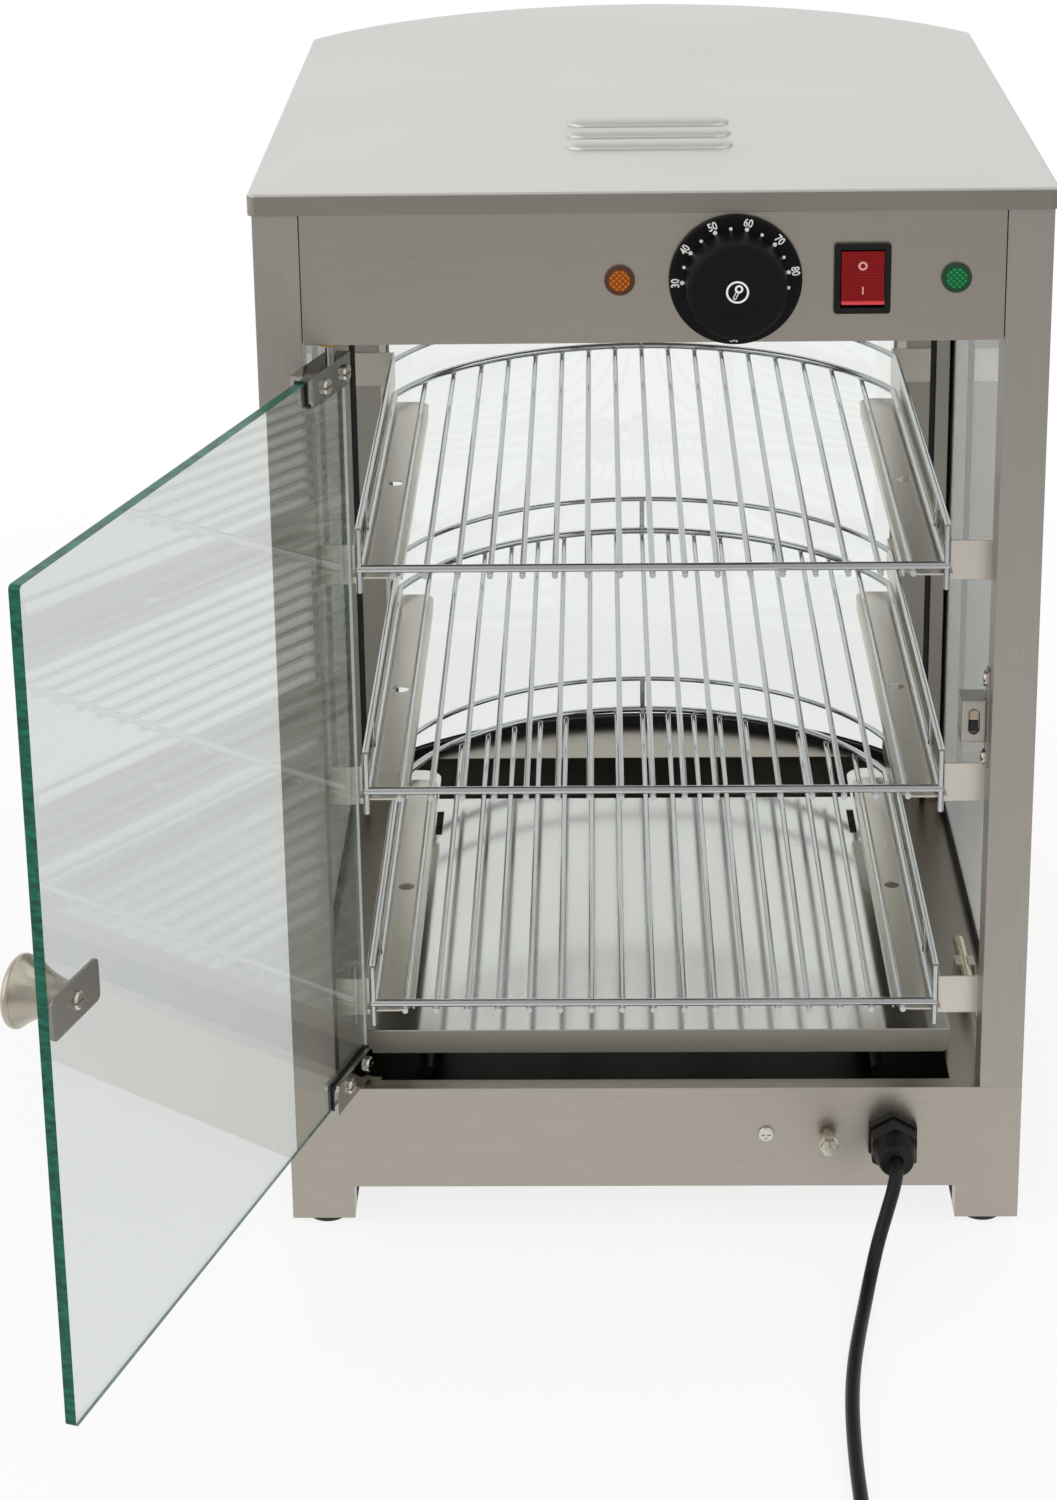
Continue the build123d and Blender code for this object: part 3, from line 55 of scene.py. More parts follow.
# %% Colours, nodes and objects
def linear(hex_value):
    """The linear colour, with full alpha, of an sRGB hex value such as '8f877e'."""
    parts = [int(hex_value[k : k + 2], 16) / 255 for k in (0, 2, 4)]
    return tuple(c / 12.92 if c <= 0.04045 else ((c + 0.055) / 1.055) ** 2.4 for c in parts) + (1.0,)


def add_node(tree, kind, inputs=None, **settings):
    """A new node of that kind, with its settings, and its inputs by name or number.

    An input is given a plain value, a socket, a node for that node's first output, or a list to link.
    """
    node = tree.nodes.new(kind)
    for name, value in settings.items():
        setattr(node, name, value)
    for name, value in (inputs or {}).items():
        for source in value if isinstance(value, list) else [value]:
            if isinstance(source, bpy.types.Node):
                source = source.outputs[0]
            if isinstance(source, bpy.types.NodeSocket):
                tree.links.new(source, node.inputs[name])
            else:
                node.inputs[name].default_value = source
    return node


def new_material(name):
    """A material with an empty node tree, and that tree."""
    material = bpy.data.materials.new(name)
    material.use_nodes = True
    material.node_tree.nodes.clear()
    return material, material.node_tree


def put(name, data):
    """A new object with that data, in the scene."""
    thing = bpy.data.objects.new(name, data)
    bpy.context.scene.collection.objects.link(thing)
    return thing


print("mid grey in linear light:", round(linear("808080")[0], 3))

# %% [markdown]
# ## The camera
# The photo was taken from a standing person's height, a little left of the middle, with a lens of
# about 77 mm. A real camera's tilt makes upright lines lean together, so the tilt, the turn, the roll
# and the lens below were worked out from the lid's corners, the panel, the legs and the open door.
# The upright lines lean less than the steep view asks for, so the picture was cropped above or its
# lens was shifted. A picture centre above the middle, by a small shift of the sensor, stands for that.

# %% Set up the camera
PHOTO_HEIGHT = 1500
PHOTO_CENTRE_LEVEL = 460
PHOTO_FOCAL_PX = 3221.8
SENSOR_WIDTH = 36
CAMERA_PLACE = Vector((-24.1, -1615.0, 879.1)) * MM
CAMERA_TILT = math.radians(18.261)
CAMERA_TURN = math.radians(1.360)
CAMERA_ROLL = math.radians(0.849)

camera_data = bpy.data.cameras.new("photo_camera")
camera_data.sensor_width = SENSOR_WIDTH
camera_data.lens = PHOTO_FOCAL_PX / PHOTO_HEIGHT * SENSOR_WIDTH
camera_data.shift_y = (PHOTO_CENTRE_LEVEL - PHOTO_HEIGHT / 2) / PHOTO_HEIGHT
camera = put("photo_camera", camera_data)
bpy.context.scene.camera = camera
turn = Matrix.Rotation(CAMERA_TURN, 4, "Z")
tilt = Matrix.Rotation(math.pi / 2 - CAMERA_TILT, 4, "X")
roll = Matrix.Rotation(-CAMERA_ROLL, 4, "Z")
camera.matrix_world = Matrix.Translation(CAMERA_PLACE) @ turn @ tilt @ roll
print("lens in mm:", round(camera_data.lens, 1), "shift:", round(camera_data.shift_y, 3))

# %% [markdown]
# ## The mains lead
# A mains lead is a fixed length of flexible PVC with copper inside. It leaves the gland straight, falls under
# its own weight, and lies on the table. A curve with a round bevel is the natural way to make it: a NURBS
# spline of order 3 passes smoothly between points that are given, in millimetres.

# %% Route of the lead
CORD_WIDTH = 6.8 * MM
TABLE_Z = 3.5
cord_route = [
    (119, -205.2, 50), (119, -216.8, 50), (116.9, -224.2, 43.2), (113, -229, 31.8),
    (108.6, -234.8, 19.4), (104.4, -246.2, 8.9), (100.2, -264, TABLE_Z), (95.4, -289, TABLE_Z),
    (90.8, -316, TABLE_Z), (87.8, -344, TABLE_Z), (86.4, -374, TABLE_Z), (86, -408, TABLE_Z),
    (87, -450, TABLE_Z),
]
cord_points = [Vector(p) * MM for p in cord_route]
print("points of the visible run:", len(cord_points))

# %% [markdown]
# What the photo does not show of the lead's length is wound in a flat coil of two layers in front of the
# case, out of the picture. A spiral of half circles is the simplest coil: each half has its own radius,
# the radii shrink to the middle, one half climbs to the second layer, and the radii grow again. A spline
# cuts the corners of its points, so these lie a little outside the circle that they draw.

# %% Turns of the coil
COIL_START = Vector((87, -507, TABLE_Z)) * MM
COIL_OUTER = 51
COIL_STEP = 3.8
INNER_HALF = 5
LAYER_STEP = 7.4 * MM
LEAD_OUT_RADIUS = 36 * MM
POINTS_PER_HALF = 8
POINTS_OUTSIDE = 0.995 / math.cos(math.pi / 2 / POINTS_PER_HALF)

inward = [COIL_OUTER - COIL_STEP * k for k in range(INNER_HALF + 1)]
cord_points.append(COIL_START + Vector((0, CORD_WIDTH, 0)))
here = COIL_START.copy()
heading = -1
for half, radius_mm in enumerate(inward + inward[-2:0:-1]):
    radius = radius_mm * MM
    rise = LAYER_STEP if half == INNER_HALF else 0
    middle = here + Vector((-heading * radius, 0, 0))
    for k in range(POINTS_PER_HALF):
        share = (k + 0.5) / POINTS_PER_HALF
        along, across = math.cos(math.pi * share), math.sin(math.pi * share)
        wide = heading * radius * POINTS_OUTSIDE
        cord_points.append(middle + Vector((along * wide, across * wide, rise * share)))
    here = middle + Vector((-heading * radius, 0, rise))
    heading = -heading
for angle in (math.pi / 8, 3 * math.pi / 8):
    wide = LEAD_OUT_RADIUS / math.cos(math.pi / 8)
    centre = here - Vector((LEAD_OUT_RADIUS, 0, 0))
    cord_points.append(centre + Vector((math.cos(angle) * wide, -math.sin(angle) * wide, 0)))
lead_end = here + Vector((-LEAD_OUT_RADIUS, -LEAD_OUT_RADIUS, 0))
cord_points.append(lead_end - Vector((CORD_WIDTH, 0, 0)))
print("points with the coil:", len(cord_points))

# %% [markdown]
# Blender adds the radius of a curve's points to its box, 1 m as a rule. Here the points carry the lead's
# own radius and the bevel is 1 m, which gives the same tube and a true box.

# %% Tube of the lead
curve = bpy.data.curves.new("mains_lead", "CURVE")
curve.dimensions = "3D"
curve.bevel_depth = 1.0
curve.bevel_resolution = 5
curve.resolution_u = 6
curve.use_fill_caps = True
spline = curve.splines.new("NURBS")
spline.points.add(len(cord_points) - 1)
for point, place in zip(spline.points, cord_points):
    point.co = (*place, 1)
    point.radius = CORD_WIDTH / 2
spline.order_u = 3
spline.use_endpoint_u = True
mains_lead = put("mains_lead", curve)
print("lead length in metres:", round(spline.calc_length(), 3))

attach(mains_lead, "cabinet")
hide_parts("power_cord", "cord_coil")

# %% [markdown]
# ## Floor
# The photo is a studio cut-out: a white surround with hardly any shadow. The floor is a large pale sheet.
# It takes the object's shadow as a plain matt surface, and mixes in white where the camera, a
# reflection or clear glass looks at it, so that metal and glass have white around them as in the photo.
# A steel front shows what stands behind the photographer, and the open door shows the right side of the
# studio. Both are dimmer than the surround, so what reflections meet grows darker towards -Y and +X.

# %% Floor paper
bpy.context.scene.view_settings.view_transform = "Standard"
MATH = "ShaderNodeMath"
MAP_RANGE = "ShaderNodeMapRange"

FLOOR_SHADOW_SHARE = 0.17
SHADOW_REACH = (0.35, 1.2)
FRONT_DIM = 0.55
FRONT_REACH = (-2.0, -0.3)
RIGHT_DIM = 0.45
RIGHT_REACH = (0.4, 1.2)

floor_paper, tree = new_material("matt_floor_paper")
ground = add_node(tree, "ShaderNodeNewGeometry")
distance = add_node(tree, "ShaderNodeVectorMath", {0: ground.outputs["Position"]}, operation="LENGTH")
plain = add_node(tree, MAP_RANGE, {
    "Value": distance.outputs["Value"], "From Min": SHADOW_REACH[0], "From Max": SHADOW_REACH[1],
    "To Min": 1 - FLOOR_SHADOW_SHARE, "To Max": 1.0})
along = add_node(tree, "ShaderNodeSeparateXYZ", {0: ground.outputs["Position"]})
front = add_node(tree, MAP_RANGE, {
    "Value": along.outputs["Y"], "From Min": FRONT_REACH[0], "From Max": FRONT_REACH[1],
    "To Min": FRONT_DIM, "To Max": 1.0})
right = add_node(tree, MAP_RANGE, {
    "Value": along.outputs["X"], "From Min": RIGHT_REACH[0], "From Max": RIGHT_REACH[1], "To Min": 1.0,
    "To Max": RIGHT_DIM})
dimmed = add_node(tree, MATH, {0: front, 1: right}, operation="MULTIPLY")
ray = add_node(tree, "ShaderNodeLightPath").outputs
glow = add_node(tree, "ShaderNodeMix", {0: ray["Is Glossy Ray"], 2: 1.0, 3: dimmed})
matt = add_node(tree, "ShaderNodeBsdfDiffuse", {"Color": linear("f2f2f0")})
white = add_node(tree, "ShaderNodeEmission", {"Color": linear("ffffff"), "Strength": glow})
mirrored = add_node(tree, MATH, {0: ray["Is Camera Ray"], 1: ray["Is Glossy Ray"]}, operation="MAXIMUM")
seen = add_node(tree, MATH, {0: mirrored, 1: ray["Is Transmission Ray"]}, operation="MAXIMUM")
share = add_node(tree, MATH, {0: seen, 1: plain}, operation="MULTIPLY")
mix = add_node(tree, "ShaderNodeMixShader", {0: share, 1: matt, 2: white})
add_node(tree, "ShaderNodeOutputMaterial", {"Surface": mix})
print(floor_paper.name, "nodes:", len(tree.nodes))

# %% [markdown]
# The sheet is one square face, so wide that its border never shows.

# %% Floor sheet
FLOOR_REACH = 12


def mesh_from(name, bm):
    """The mesh of a bmesh, which is freed."""
    mesh = bpy.data.meshes.new(name)
    bm.to_mesh(mesh)
    bm.free()
    return mesh


bm = bmesh.new()
bmesh.ops.create_grid(bm, x_segments=1, y_segments=1, size=FLOOR_REACH)
floor = put("floor", mesh_from("floor", bm))
floor.data.materials.append(floor_paper)
print("floor in metres:", [round(v, 1) for v in floor.dimensions])

# %% [markdown]
# ## Sky
# The world is plain white for the camera and through glass, and a little weaker as a light. Reflections
# meet a studio that grows darker behind the photographer, to the right and at the ceiling: without the
# last, each pressed louvre of the lid would shine as a white band.

# %% Sky
SKY_LIGHT = 0.62
SKY_DIMMING = {  # axis of the direction: where the change starts and ends, and the strength at both
    "Y": (-1.0, 0.1, 0.55, 1.0),
    "X": (0.2, 0.9, 1.0, RIGHT_DIM),
    "Z": (0.65, 0.9, 1.0, 0.65),
}

world = bpy.data.worlds.new("studio")
bpy.context.scene.world = world
world.use_nodes = True
tree = world.node_tree
tree.nodes.clear()
way = add_node(tree, "ShaderNodeTexCoord")
split = add_node(tree, "ShaderNodeSeparateXYZ", {0: way.outputs["Generated"]})
fade = 1.0
for axis, (start, end, at_start, at_end) in SKY_DIMMING.items():
    dim = add_node(tree, MAP_RANGE, {
        "Value": split.outputs[axis], "From Min": start, "From Max": end, "To Min": at_start,
        "To Max": at_end})
    fade = add_node(tree, MATH, {0: fade, 1: dim}, operation="MULTIPLY")
ray = add_node(tree, "ShaderNodeLightPath").outputs
open_view = add_node(tree, MATH, {
    0: ray["Is Camera Ray"], 1: ray["Is Transmission Ray"]}, operation="MAXIMUM")
strength = add_node(tree, "ShaderNodeMix", {0: ray["Is Glossy Ray"], 2: SKY_LIGHT, 3: fade})
shown = add_node(tree, "ShaderNodeMix", {0: open_view, 2: strength, 3: 1.0})
sky = add_node(tree, "ShaderNodeBackground", {"Color": linear("ffffff"), "Strength": shown})
add_node(tree, "ShaderNodeOutputWorld", {"Surface": sky})
print("sky nodes:", len(tree.nodes))

# %% [markdown]
# ## Lamps
# Three large soft boxes give the even light of a product studio. Their power is low and their faces are
# wide, so that a steel sheet that mirrors one of them stays below white. The one overhead is kept out of
# mirrored rays, where the lid's louvres would pick it out.

# %% Lamps
SOFT_BOXES = {  # place and height of the aim in metres, width in metres, power in watts
    "left_soft_box": ((-1.8, -1.6, 1.7), 0.3, 3.2, 22),
    "right_soft_box": ((1.9, -1.2, 1.5), 0.3, 3.2, 18),
    "top_soft_box": ((0.1, 0.5, 2.2), 0.4, 2.0, 12),
}
for name, (place, aim_height, width, power) in SOFT_BOXES.items():
    light = bpy.data.lights.new(name, "AREA")
    light.shape = "SQUARE"
    light.size = width
    light.energy = power
    lamp = put(name, light)
    lamp.location = place
    aim = Vector((0, 0, aim_height)) - Vector(place)
    lamp.rotation_euler = aim.to_track_quat("-Z", "Y").to_euler()
    lamp.visible_glossy = name != "top_soft_box"
    print(name, "watts:", power)

# %% [markdown]
# ## Stainless sheet
# The body is ribbon-ground stainless steel (AISI 201 or 304, No. 4 finish): a belt leaves short, fine
# scratches that all run one way. The eye sees a soft, slightly warm grey that smears reflections
# across the scratches. Real scratches are about 0.05 mm apart, too fine for this picture, so they are
# drawn 0.35 mm apart. Noise stretched along the grain drives both the tone and the bump. Wide clouds,
# about 110 mm across, make some places a little duller than others, as hands and cloths do.

# %% Steel
GRAIN_STEP = 0.35
GRAIN_LENGTH = 18
SCRATCH_DEPTH = 0.05
CLOUDS_PER_METRE = 9.0
DULLER, BRIGHTER = 0.07, 0.05
EDGE_ROUND = 0.5
LEVEL_BLEND = 0.3


def brushed_steel(name, hex_value, grain, roughness=0.3, tone=0.10, depth=0.12, top_light_and_roughness=None):
    """Ribbon-ground stainless sheet whose scratches run along the object's own axis 'grain'.

    Its cut and folded edges are rounded a little. The last argument, when given, holds a height in mm, and
    the colour and the roughness over it; that colour is painted light on a top face, and the sheet's own
    colour under it is painted shade.
    """
    material, tree = new_material(name)
    place = add_node(tree, "ShaderNodeTexCoord").outputs["Object"]
    steps = [1 / (GRAIN_STEP * MM)] * 3
    steps["XYZ".index(grain)] = 1 / (GRAIN_LENGTH * MM)
    stretch = add_node(tree, "ShaderNodeMapping", {"Vector": place, "Scale": tuple(steps)})
    scratches = add_node(tree, "ShaderNodeTexNoise", {"Vector": stretch, "Scale": 1.0, "Detail": 3.0})
    clouds = add_node(tree, "ShaderNodeTexNoise", {"Vector": place, "Scale": CLOUDS_PER_METRE, "Detail": 2.0})
    shades = []
    for shade_hex in [hex_value] + ([top_light_and_roughness[1]] if top_light_and_roughness else []):
        base = linear(shade_hex)[:3]
        dark, pale = [tuple(min(1, c * (1 + change)) for c in base) + (1,) for change in (-tone, tone)]
        shade = add_node(tree, "ShaderNodeMix", {0: scratches, 6: dark, 7: pale}, data_type="RGBA")
        shades.append(shade.outputs[2])
    colour = shades[0]
    wear = add_node(tree, MAP_RANGE, {
        "Value": clouds, "To Min": roughness - BRIGHTER, "To Max": roughness + DULLER})
    # Over the height the sheet takes the second colour: painted light on a top face, while its own colour
    # under it is painted shade on the rim.
    if top_light_and_roughness:
        level = add_node(tree, "ShaderNodeSeparateXYZ", {0: place})
        over = add_node(tree, MAP_RANGE, {
            "Value": level.outputs["Z"], "From Min": (top_light_and_roughness[0] - LEVEL_BLEND) * MM,
            "From Max": (top_light_and_roughness[0] + LEVEL_BLEND) * MM})
        colour = add_node(tree, "ShaderNodeMix", {
            0: over, 6: shades[0], 7: shades[1]}, data_type="RGBA").outputs[2]
        step = add_node(tree, MATH, {0: over, 1: top_light_and_roughness[2] - roughness}, operation="MULTIPLY")
        wear = add_node(tree, MATH, {0: wear, 1: step}, operation="ADD")
    edge = add_node(tree, "ShaderNodeBevel", {"Radius": EDGE_ROUND * MM}, samples=3)
    bump = add_node(tree, "ShaderNodeBump", {
        "Height": scratches, "Strength": depth, "Distance": SCRATCH_DEPTH * MM, "Normal": edge})
    metal = add_node(tree, "ShaderNodeBsdfPrincipled", {
        "Base Color": colour, "Metallic": 1.0, "Roughness": wear, "Normal": bump})
    add_node(tree, "ShaderNodeOutputMaterial", {"Surface": metal})
    return material


print("scratches in a metre:", round(1 / (GRAIN_STEP * MM)))

# %% [markdown]
# A finish is put on CAD nodes by their names, in place of what they had.

# %% Dressing
def dress(material, *names):
    """Gives CAD nodes a material in every slot."""
    for name in names:
        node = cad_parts[name]
        node.data.materials.clear()
        node.data.materials.append(material)
    print(f"{material.name}:", len(names), "nodes")


# %% [markdown]
# The belt runs across the panel and the base, up the posts, and along the rails. The lid and the tray change
# colour at a height: their flat tops get a paler colour, which is painted light, and their folded rims a
# darker grey as warm as the rest, which is painted shade. The tray is almost a mirror on top, and the well
# under it gets a dark grey that is painted shade.

# %% Sheets and folded pieces
LID_FACE_Z = 535.2
TRAY_FACE_Z = 92.0

steel_across = brushed_steel("ground_steel_grain_across", "aca59b", "X")
steel_upright = brushed_steel("ground_steel_grain_upright", "aca69e", "Z", roughness=0.45)
steel_along = brushed_steel("ground_steel_grain_along", "d2ccc2", "Y", roughness=0.28, tone=0.06)
# The tray's paler colour on top is painted light, and its darker colour on the folded lip is painted shade;
# the two roughnesses are the sheet's own.
tray_steel = brushed_steel("tray_sheet_steel", "bfbab0", "Y", roughness=0.6, tone=0.03, depth=0.02,
                           top_light_and_roughness=(TRAY_FACE_Z, "d8d8d5", 0.13))
# The well's dark grey is painted shade: the shadow of the deep well under the tray, laid on its floor and
# clips.
well_shade_steel = brushed_steel("well_painted_shade_steel", "57534d", "X", roughness=0.4)
# The lid's paler colour on top is painted light, and its darker colour on the folded rim is painted shade.
lid_steel = brushed_steel("lid_sheet_steel", "98938b", "X", roughness=0.4, tone=0.04,
                          top_light_and_roughness=(LID_FACE_Z, "d5d4d1", 0.4))
strike_steel = brushed_steel("strike_plate_steel", "96938e", "Z", roughness=0.36)
catch_steel = brushed_steel("catch_case_steel", "aca8a1", "Z", roughness=0.34)
dress(steel_across, "base_shell", "control_panel", "control_housing", "lower_hinge_plate")
dress(steel_upright, "left_front_post", "right_front_post", "left_rear_post", "right_rear_post")
dress(steel_along, "bulb_clip",
      *[f"{level}_{side}_rail" for level in ("lower", "middle", "upper") for side in ("left", "right")])
dress(tray_steel, "tray_cover")
dress(well_shade_steel, "base_floor", "element_clips")
dress(lid_steel, "top_cover")
dress(strike_steel, "strike_plate")
dress(catch_steel, "magnetic_catch")

# %% [markdown]
# ## Bright metal
# The wire racks, the hinge clamps and the screws are chrome or nickel plated, or bright drawn wire: a
# smooth metal that shows sharp reflections, darker than the ground sheet where it meets a dark room.
# Plating is never quite flat. Faint waves, about 8 mm long, bend what it reflects. Hidden inside are the
# yellow turned brass of the hinge bushes and the dull, annealed tube of the heating element.

# %% Plated metal
WAVES_PER_METRE = 120.0
WAVE_HEIGHT = 0.2


def plated(name, hex_value, roughness, waviness=0.0):
    """Plated or bright-drawn metal, with a faint long-wave unevenness in what it reflects."""
    material, tree = new_material(name)
    place = add_node(tree, "ShaderNodeTexCoord").outputs["Object"]
    waves = add_node(tree, "ShaderNodeTexNoise", {"Vector": place, "Scale": WAVES_PER_METRE, "Detail": 1.0})
    bump = add_node(tree, "ShaderNodeBump", {
        "Height": waves, "Strength": waviness, "Distance": WAVE_HEIGHT * MM})
    film = add_node(tree, MAP_RANGE, {"Value": waves, "To Min": roughness * 0.8, "To Max": roughness * 1.3})
    metal = add_node(tree, "ShaderNodeBsdfPrincipled", {
        "Base Color": linear(hex_value), "Metallic": 1.0, "Roughness": film, "Normal": bump})
    add_node(tree, "ShaderNodeOutputMaterial", {"Surface": metal})
    return material


rack_chrome = plated("rack_chrome_plate", "bfc1c1", 0.07, 0.02)
clamp_chrome = plated("clamp_chrome_plate", "a3a39f", 0.1, 0.05)
screw_nickel = plated("screw_nickel_plate", "d2cdc2", 0.16, 0.2)
dress(clamp_chrome, "lower_hinge_clamp", "upper_hinge_clamp", "hinge_pins", "thermostat_shaft")
dress(screw_nickel, "clamp_screws", "rail_screws", "catch_screws", "strike_screw", "base_fasteners")
dress(plated("satin_nickel_knob", "bab2a5", 0.28, 0.1), "door_knob")
dress(plated("turned_brass", "b08d4a", 0.3), "hinge_bushes")
dress(plated("annealed_alloy_tube", "6a6560", 0.45), "heating_element")
dress(plated("nickel_copper_bulb", "c2b9a2", 0.25, 0.1), "sensing_bulb")

# %% [markdown]
# ## Glass
# All panes are float glass, 4 or 5 mm thick. Looked through face-on it is nearly clear, but along an
# edge the light has crossed a hand's width of glass, and its iron turns it bottle green. A refracting
# surface with a green absorbing volume gives both from one number. Light that lamps send through the
# panes would be lost in a path tracer, so shadow rays pass as through a window. The edges are ground:
# the wheel leaves marks of a few millimetres, drawn as two greens.

# %% Float glass
UP = (0, 0, 1)
WHEEL_MARK = (6, 6, 2.5)
SIDEWAYS = 0.5
BODY_GREEN = "9fdcc8"
BODY_DENSITY = 6.0


def float_glass(name, tint_hex, face, pale_end=None):
    """Clear float glass with a green body and ground edges, open to shadow and bounce light.

    'face' is the direction across the pane. A side that looks along it is clear, any other is an edge.
    A bent pane has no such direction: it is given UP, and what looks up or down is its edge.
    The end that looks towards 'pale_end' is painted near white: a painted view of the white surround behind
    it.
    """
    material, tree = new_material(name)
    ray = add_node(tree, "ShaderNodeLightPath").outputs
    light = add_node(tree, MATH, {0: ray["Is Shadow Ray"], 1: ray["Is Diffuse Ray"]}, operation="MAXIMUM")
    glass = add_node(tree, "ShaderNodeBsdfPrincipled", {
        "Base Color": linear(tint_hex), "Roughness": 0.0, "IOR": 1.52, "Transmission Weight": 1.0})
    window = add_node(tree, "ShaderNodeBsdfTransparent", {"Color": linear("f4f8f6")})
    clear = add_node(tree, "ShaderNodeMixShader", {0: light, 1: glass, 2: window})
    surface = add_node(tree, "ShaderNodeNewGeometry").outputs
    local = add_node(tree, "ShaderNodeVectorTransform", {
        0: surface["True Normal"]}, vector_type="NORMAL", convert_from="WORLD", convert_to="OBJECT")
    across = add_node(tree, "ShaderNodeVectorMath", {0: local, 1: face}, operation="DOT_PRODUCT")
    size = add_node(tree, MATH, {0: across.outputs["Value"]}, operation="ABSOLUTE")
    at_edge = add_node(tree, MATH, {
        0: size, 1: SIDEWAYS}, operation="GREATER_THAN" if face == UP else "LESS_THAN")
    place = add_node(tree, "ShaderNodeTexCoord").outputs["Object"]
    wheel = add_node(tree, "ShaderNodeMapping", {
        "Vector": place, "Scale": tuple(1 / (mark * MM) for mark in WHEEL_MARK)})
    marks = add_node(tree, "ShaderNodeTexNoise", {"Vector": wheel, "Scale": 1.0, "Detail": 2.0})
    ground = add_node(tree, MAP_RANGE, {"Value": marks, "From Min": 0.3, "From Max": 0.7})
    green = add_node(tree, "ShaderNodeMix", {
        0: ground, 6: linear("073d30"), 7: linear("12705a")}, data_type="RGBA")
    # Painted light: the end towards 'pale_end' gets a near-white colour that stands for the white seen
    # through it.
    if pale_end:
        towards = add_node(tree, "ShaderNodeVectorMath", {0: local, 1: pale_end}, operation="DOT_PRODUCT")
        inside = add_node(tree, MAP_RANGE, {"Value": surface["Backfacing"], "To Min": 1.0, "To Max": -1.0})
        outward = add_node(tree, MATH, {0: towards.outputs["Value"], 1: inside}, operation="MULTIPLY")
        is_end = add_node(tree, MATH, {0: outward, 1: SIDEWAYS}, operation="GREATER_THAN")
        green = add_node(tree, "ShaderNodeMix", {
            0: is_end, 6: green.outputs[2], 7: linear("e2e8e5")}, data_type="RGBA")
    edge = add_node(tree, "ShaderNodeBsdfPrincipled", {
        "Base Color": green.outputs[2], "Roughness": 0.3, "Specular IOR Level": 0.3})
    mix = add_node(tree, "ShaderNodeMixShader", {0: at_edge, 1: clear, 2: edge})
    body = add_node(tree, "ShaderNodeVolumeAbsorption", {
        "Color": linear(BODY_GREEN), "Density": BODY_DENSITY})
    add_node(tree, "ShaderNodeOutputMaterial", {"Surface": mix, "Volume": body})
    return material


print("wheel marks in mm:", WHEEL_MARK)

# %% [markdown]
# The door is modelled standing open, so the direction across its pane follows from that angle. Its hinge end
# hides in the clamps and is painted near white, a painted view of the white surround behind it, while the
# free end shows its whole green width.

# %% Panes
DOOR_OPEN = math.radians(108.3)
DOOR_ACROSS = (math.sin(DOOR_OPEN), math.cos(DOOR_OPEN), 0)
TO_HINGE = (-math.cos(DOOR_OPEN), math.sin(DOOR_OPEN), 0)
dress(float_glass("door_float_glass", "dfe1df", DOOR_ACROSS, pale_end=TO_HINGE), "door_glass")
dress(float_glass("side_float_glass", "f3f5f3", (1, 0, 0)), "left_side_glass", "right_side_glass")
dress(float_glass("bent_float_glass", "f3f5f3", UP), "curved_glass")

# %% [markdown]
# ## Rubber and plastics
# Feet, gaskets and the lead's sheath are matt black rubber or PVC. The dial, the switch housing and the
# gland are moulded in black ABS or nylon: a fine spark-eroded grain and a soft, grey sheen. The real
# grain is some hundredths of a millimetre wide. It is drawn about ten times as coarse to show at all.
# The terminal block and the thermostat's body are ivory, the usual colour of parts that bear mains.

# %% Moulded parts
GRAIN_HEIGHT = 0.1
GRAIN_SHEEN = 0.06


def moulded(name, hex_value, roughness, grain_mm, depth, gloss=0.5):
    """A moulded or extruded polymer with a fine surface grain."""
    material, tree = new_material(name)
    place = add_node(tree, "ShaderNodeTexCoord").outputs["Object"]
    grain = add_node(tree, "ShaderNodeTexNoise", {
        "Vector": place, "Scale": 1 / (grain_mm * MM), "Detail": 2.0})
    bump = add_node(tree, "ShaderNodeBump", {
        "Height": grain, "Strength": depth, "Distance": GRAIN_HEIGHT * MM})
    uneven = add_node(tree, MAP_RANGE, {
        "Value": grain, "To Min": roughness - GRAIN_SHEEN, "To Max": roughness + GRAIN_SHEEN})
    skin = add_node(tree, "ShaderNodeBsdfPrincipled", {
        "Base Color": linear(hex_value), "IOR": 1.5, "Specular IOR Level": gloss, "Roughness": uneven,
        "Normal": bump})
    add_node(tree, "ShaderNodeOutputMaterial", {"Surface": skin})
    return material


black_sheath = moulded("black_pvc_sheath", "0b0b0c", 0.4, 1.2, 0.1, gloss=0.3)
black_nylon = moulded("black_nylon", "0d0d0e", 0.38, 0.5, 0.15, gloss=0.28)
dress(moulded("black_rubber", "1b1b1b", 0.62, 0.8, 0.3),
      "rubber_feet", "clamp_pads", "side_seals", "curved_seals", "groove_strips")
dress(black_sheath, "inner_wiring", "mains_plug")
dress(black_nylon, "cable_gland", "rocker_housing")
dress(moulded("black_abs_dial", "0b0b0b", 0.48, 0.4, 0.15, gloss=0.16), "thermostat_knob")
dress(moulded("ivory_abs", "d9d5c8", 0.45, 0.5, 0.15), "terminal_block", "thermostat_body")
curve.materials.append(black_sheath)

# %% [markdown]
# ## Clear coloured plastics
# The rocker and the two lamp lenses are clear polycarbonate, dyed right through. Behind the smooth
# front lies a moulded relief that spreads the light: fine studs in the rocker, small diamonds in the
# lenses. A cell texture without randomness is a regular grid, and turned by 45 degrees it gives the
# diamonds. Towards its rim a lens is thicker and looks darker.

# %% Dyed plastics
RIM_BLEND = 0.4
LIP_BLEND = 0.2
RELIEF_HEIGHT = 0.2


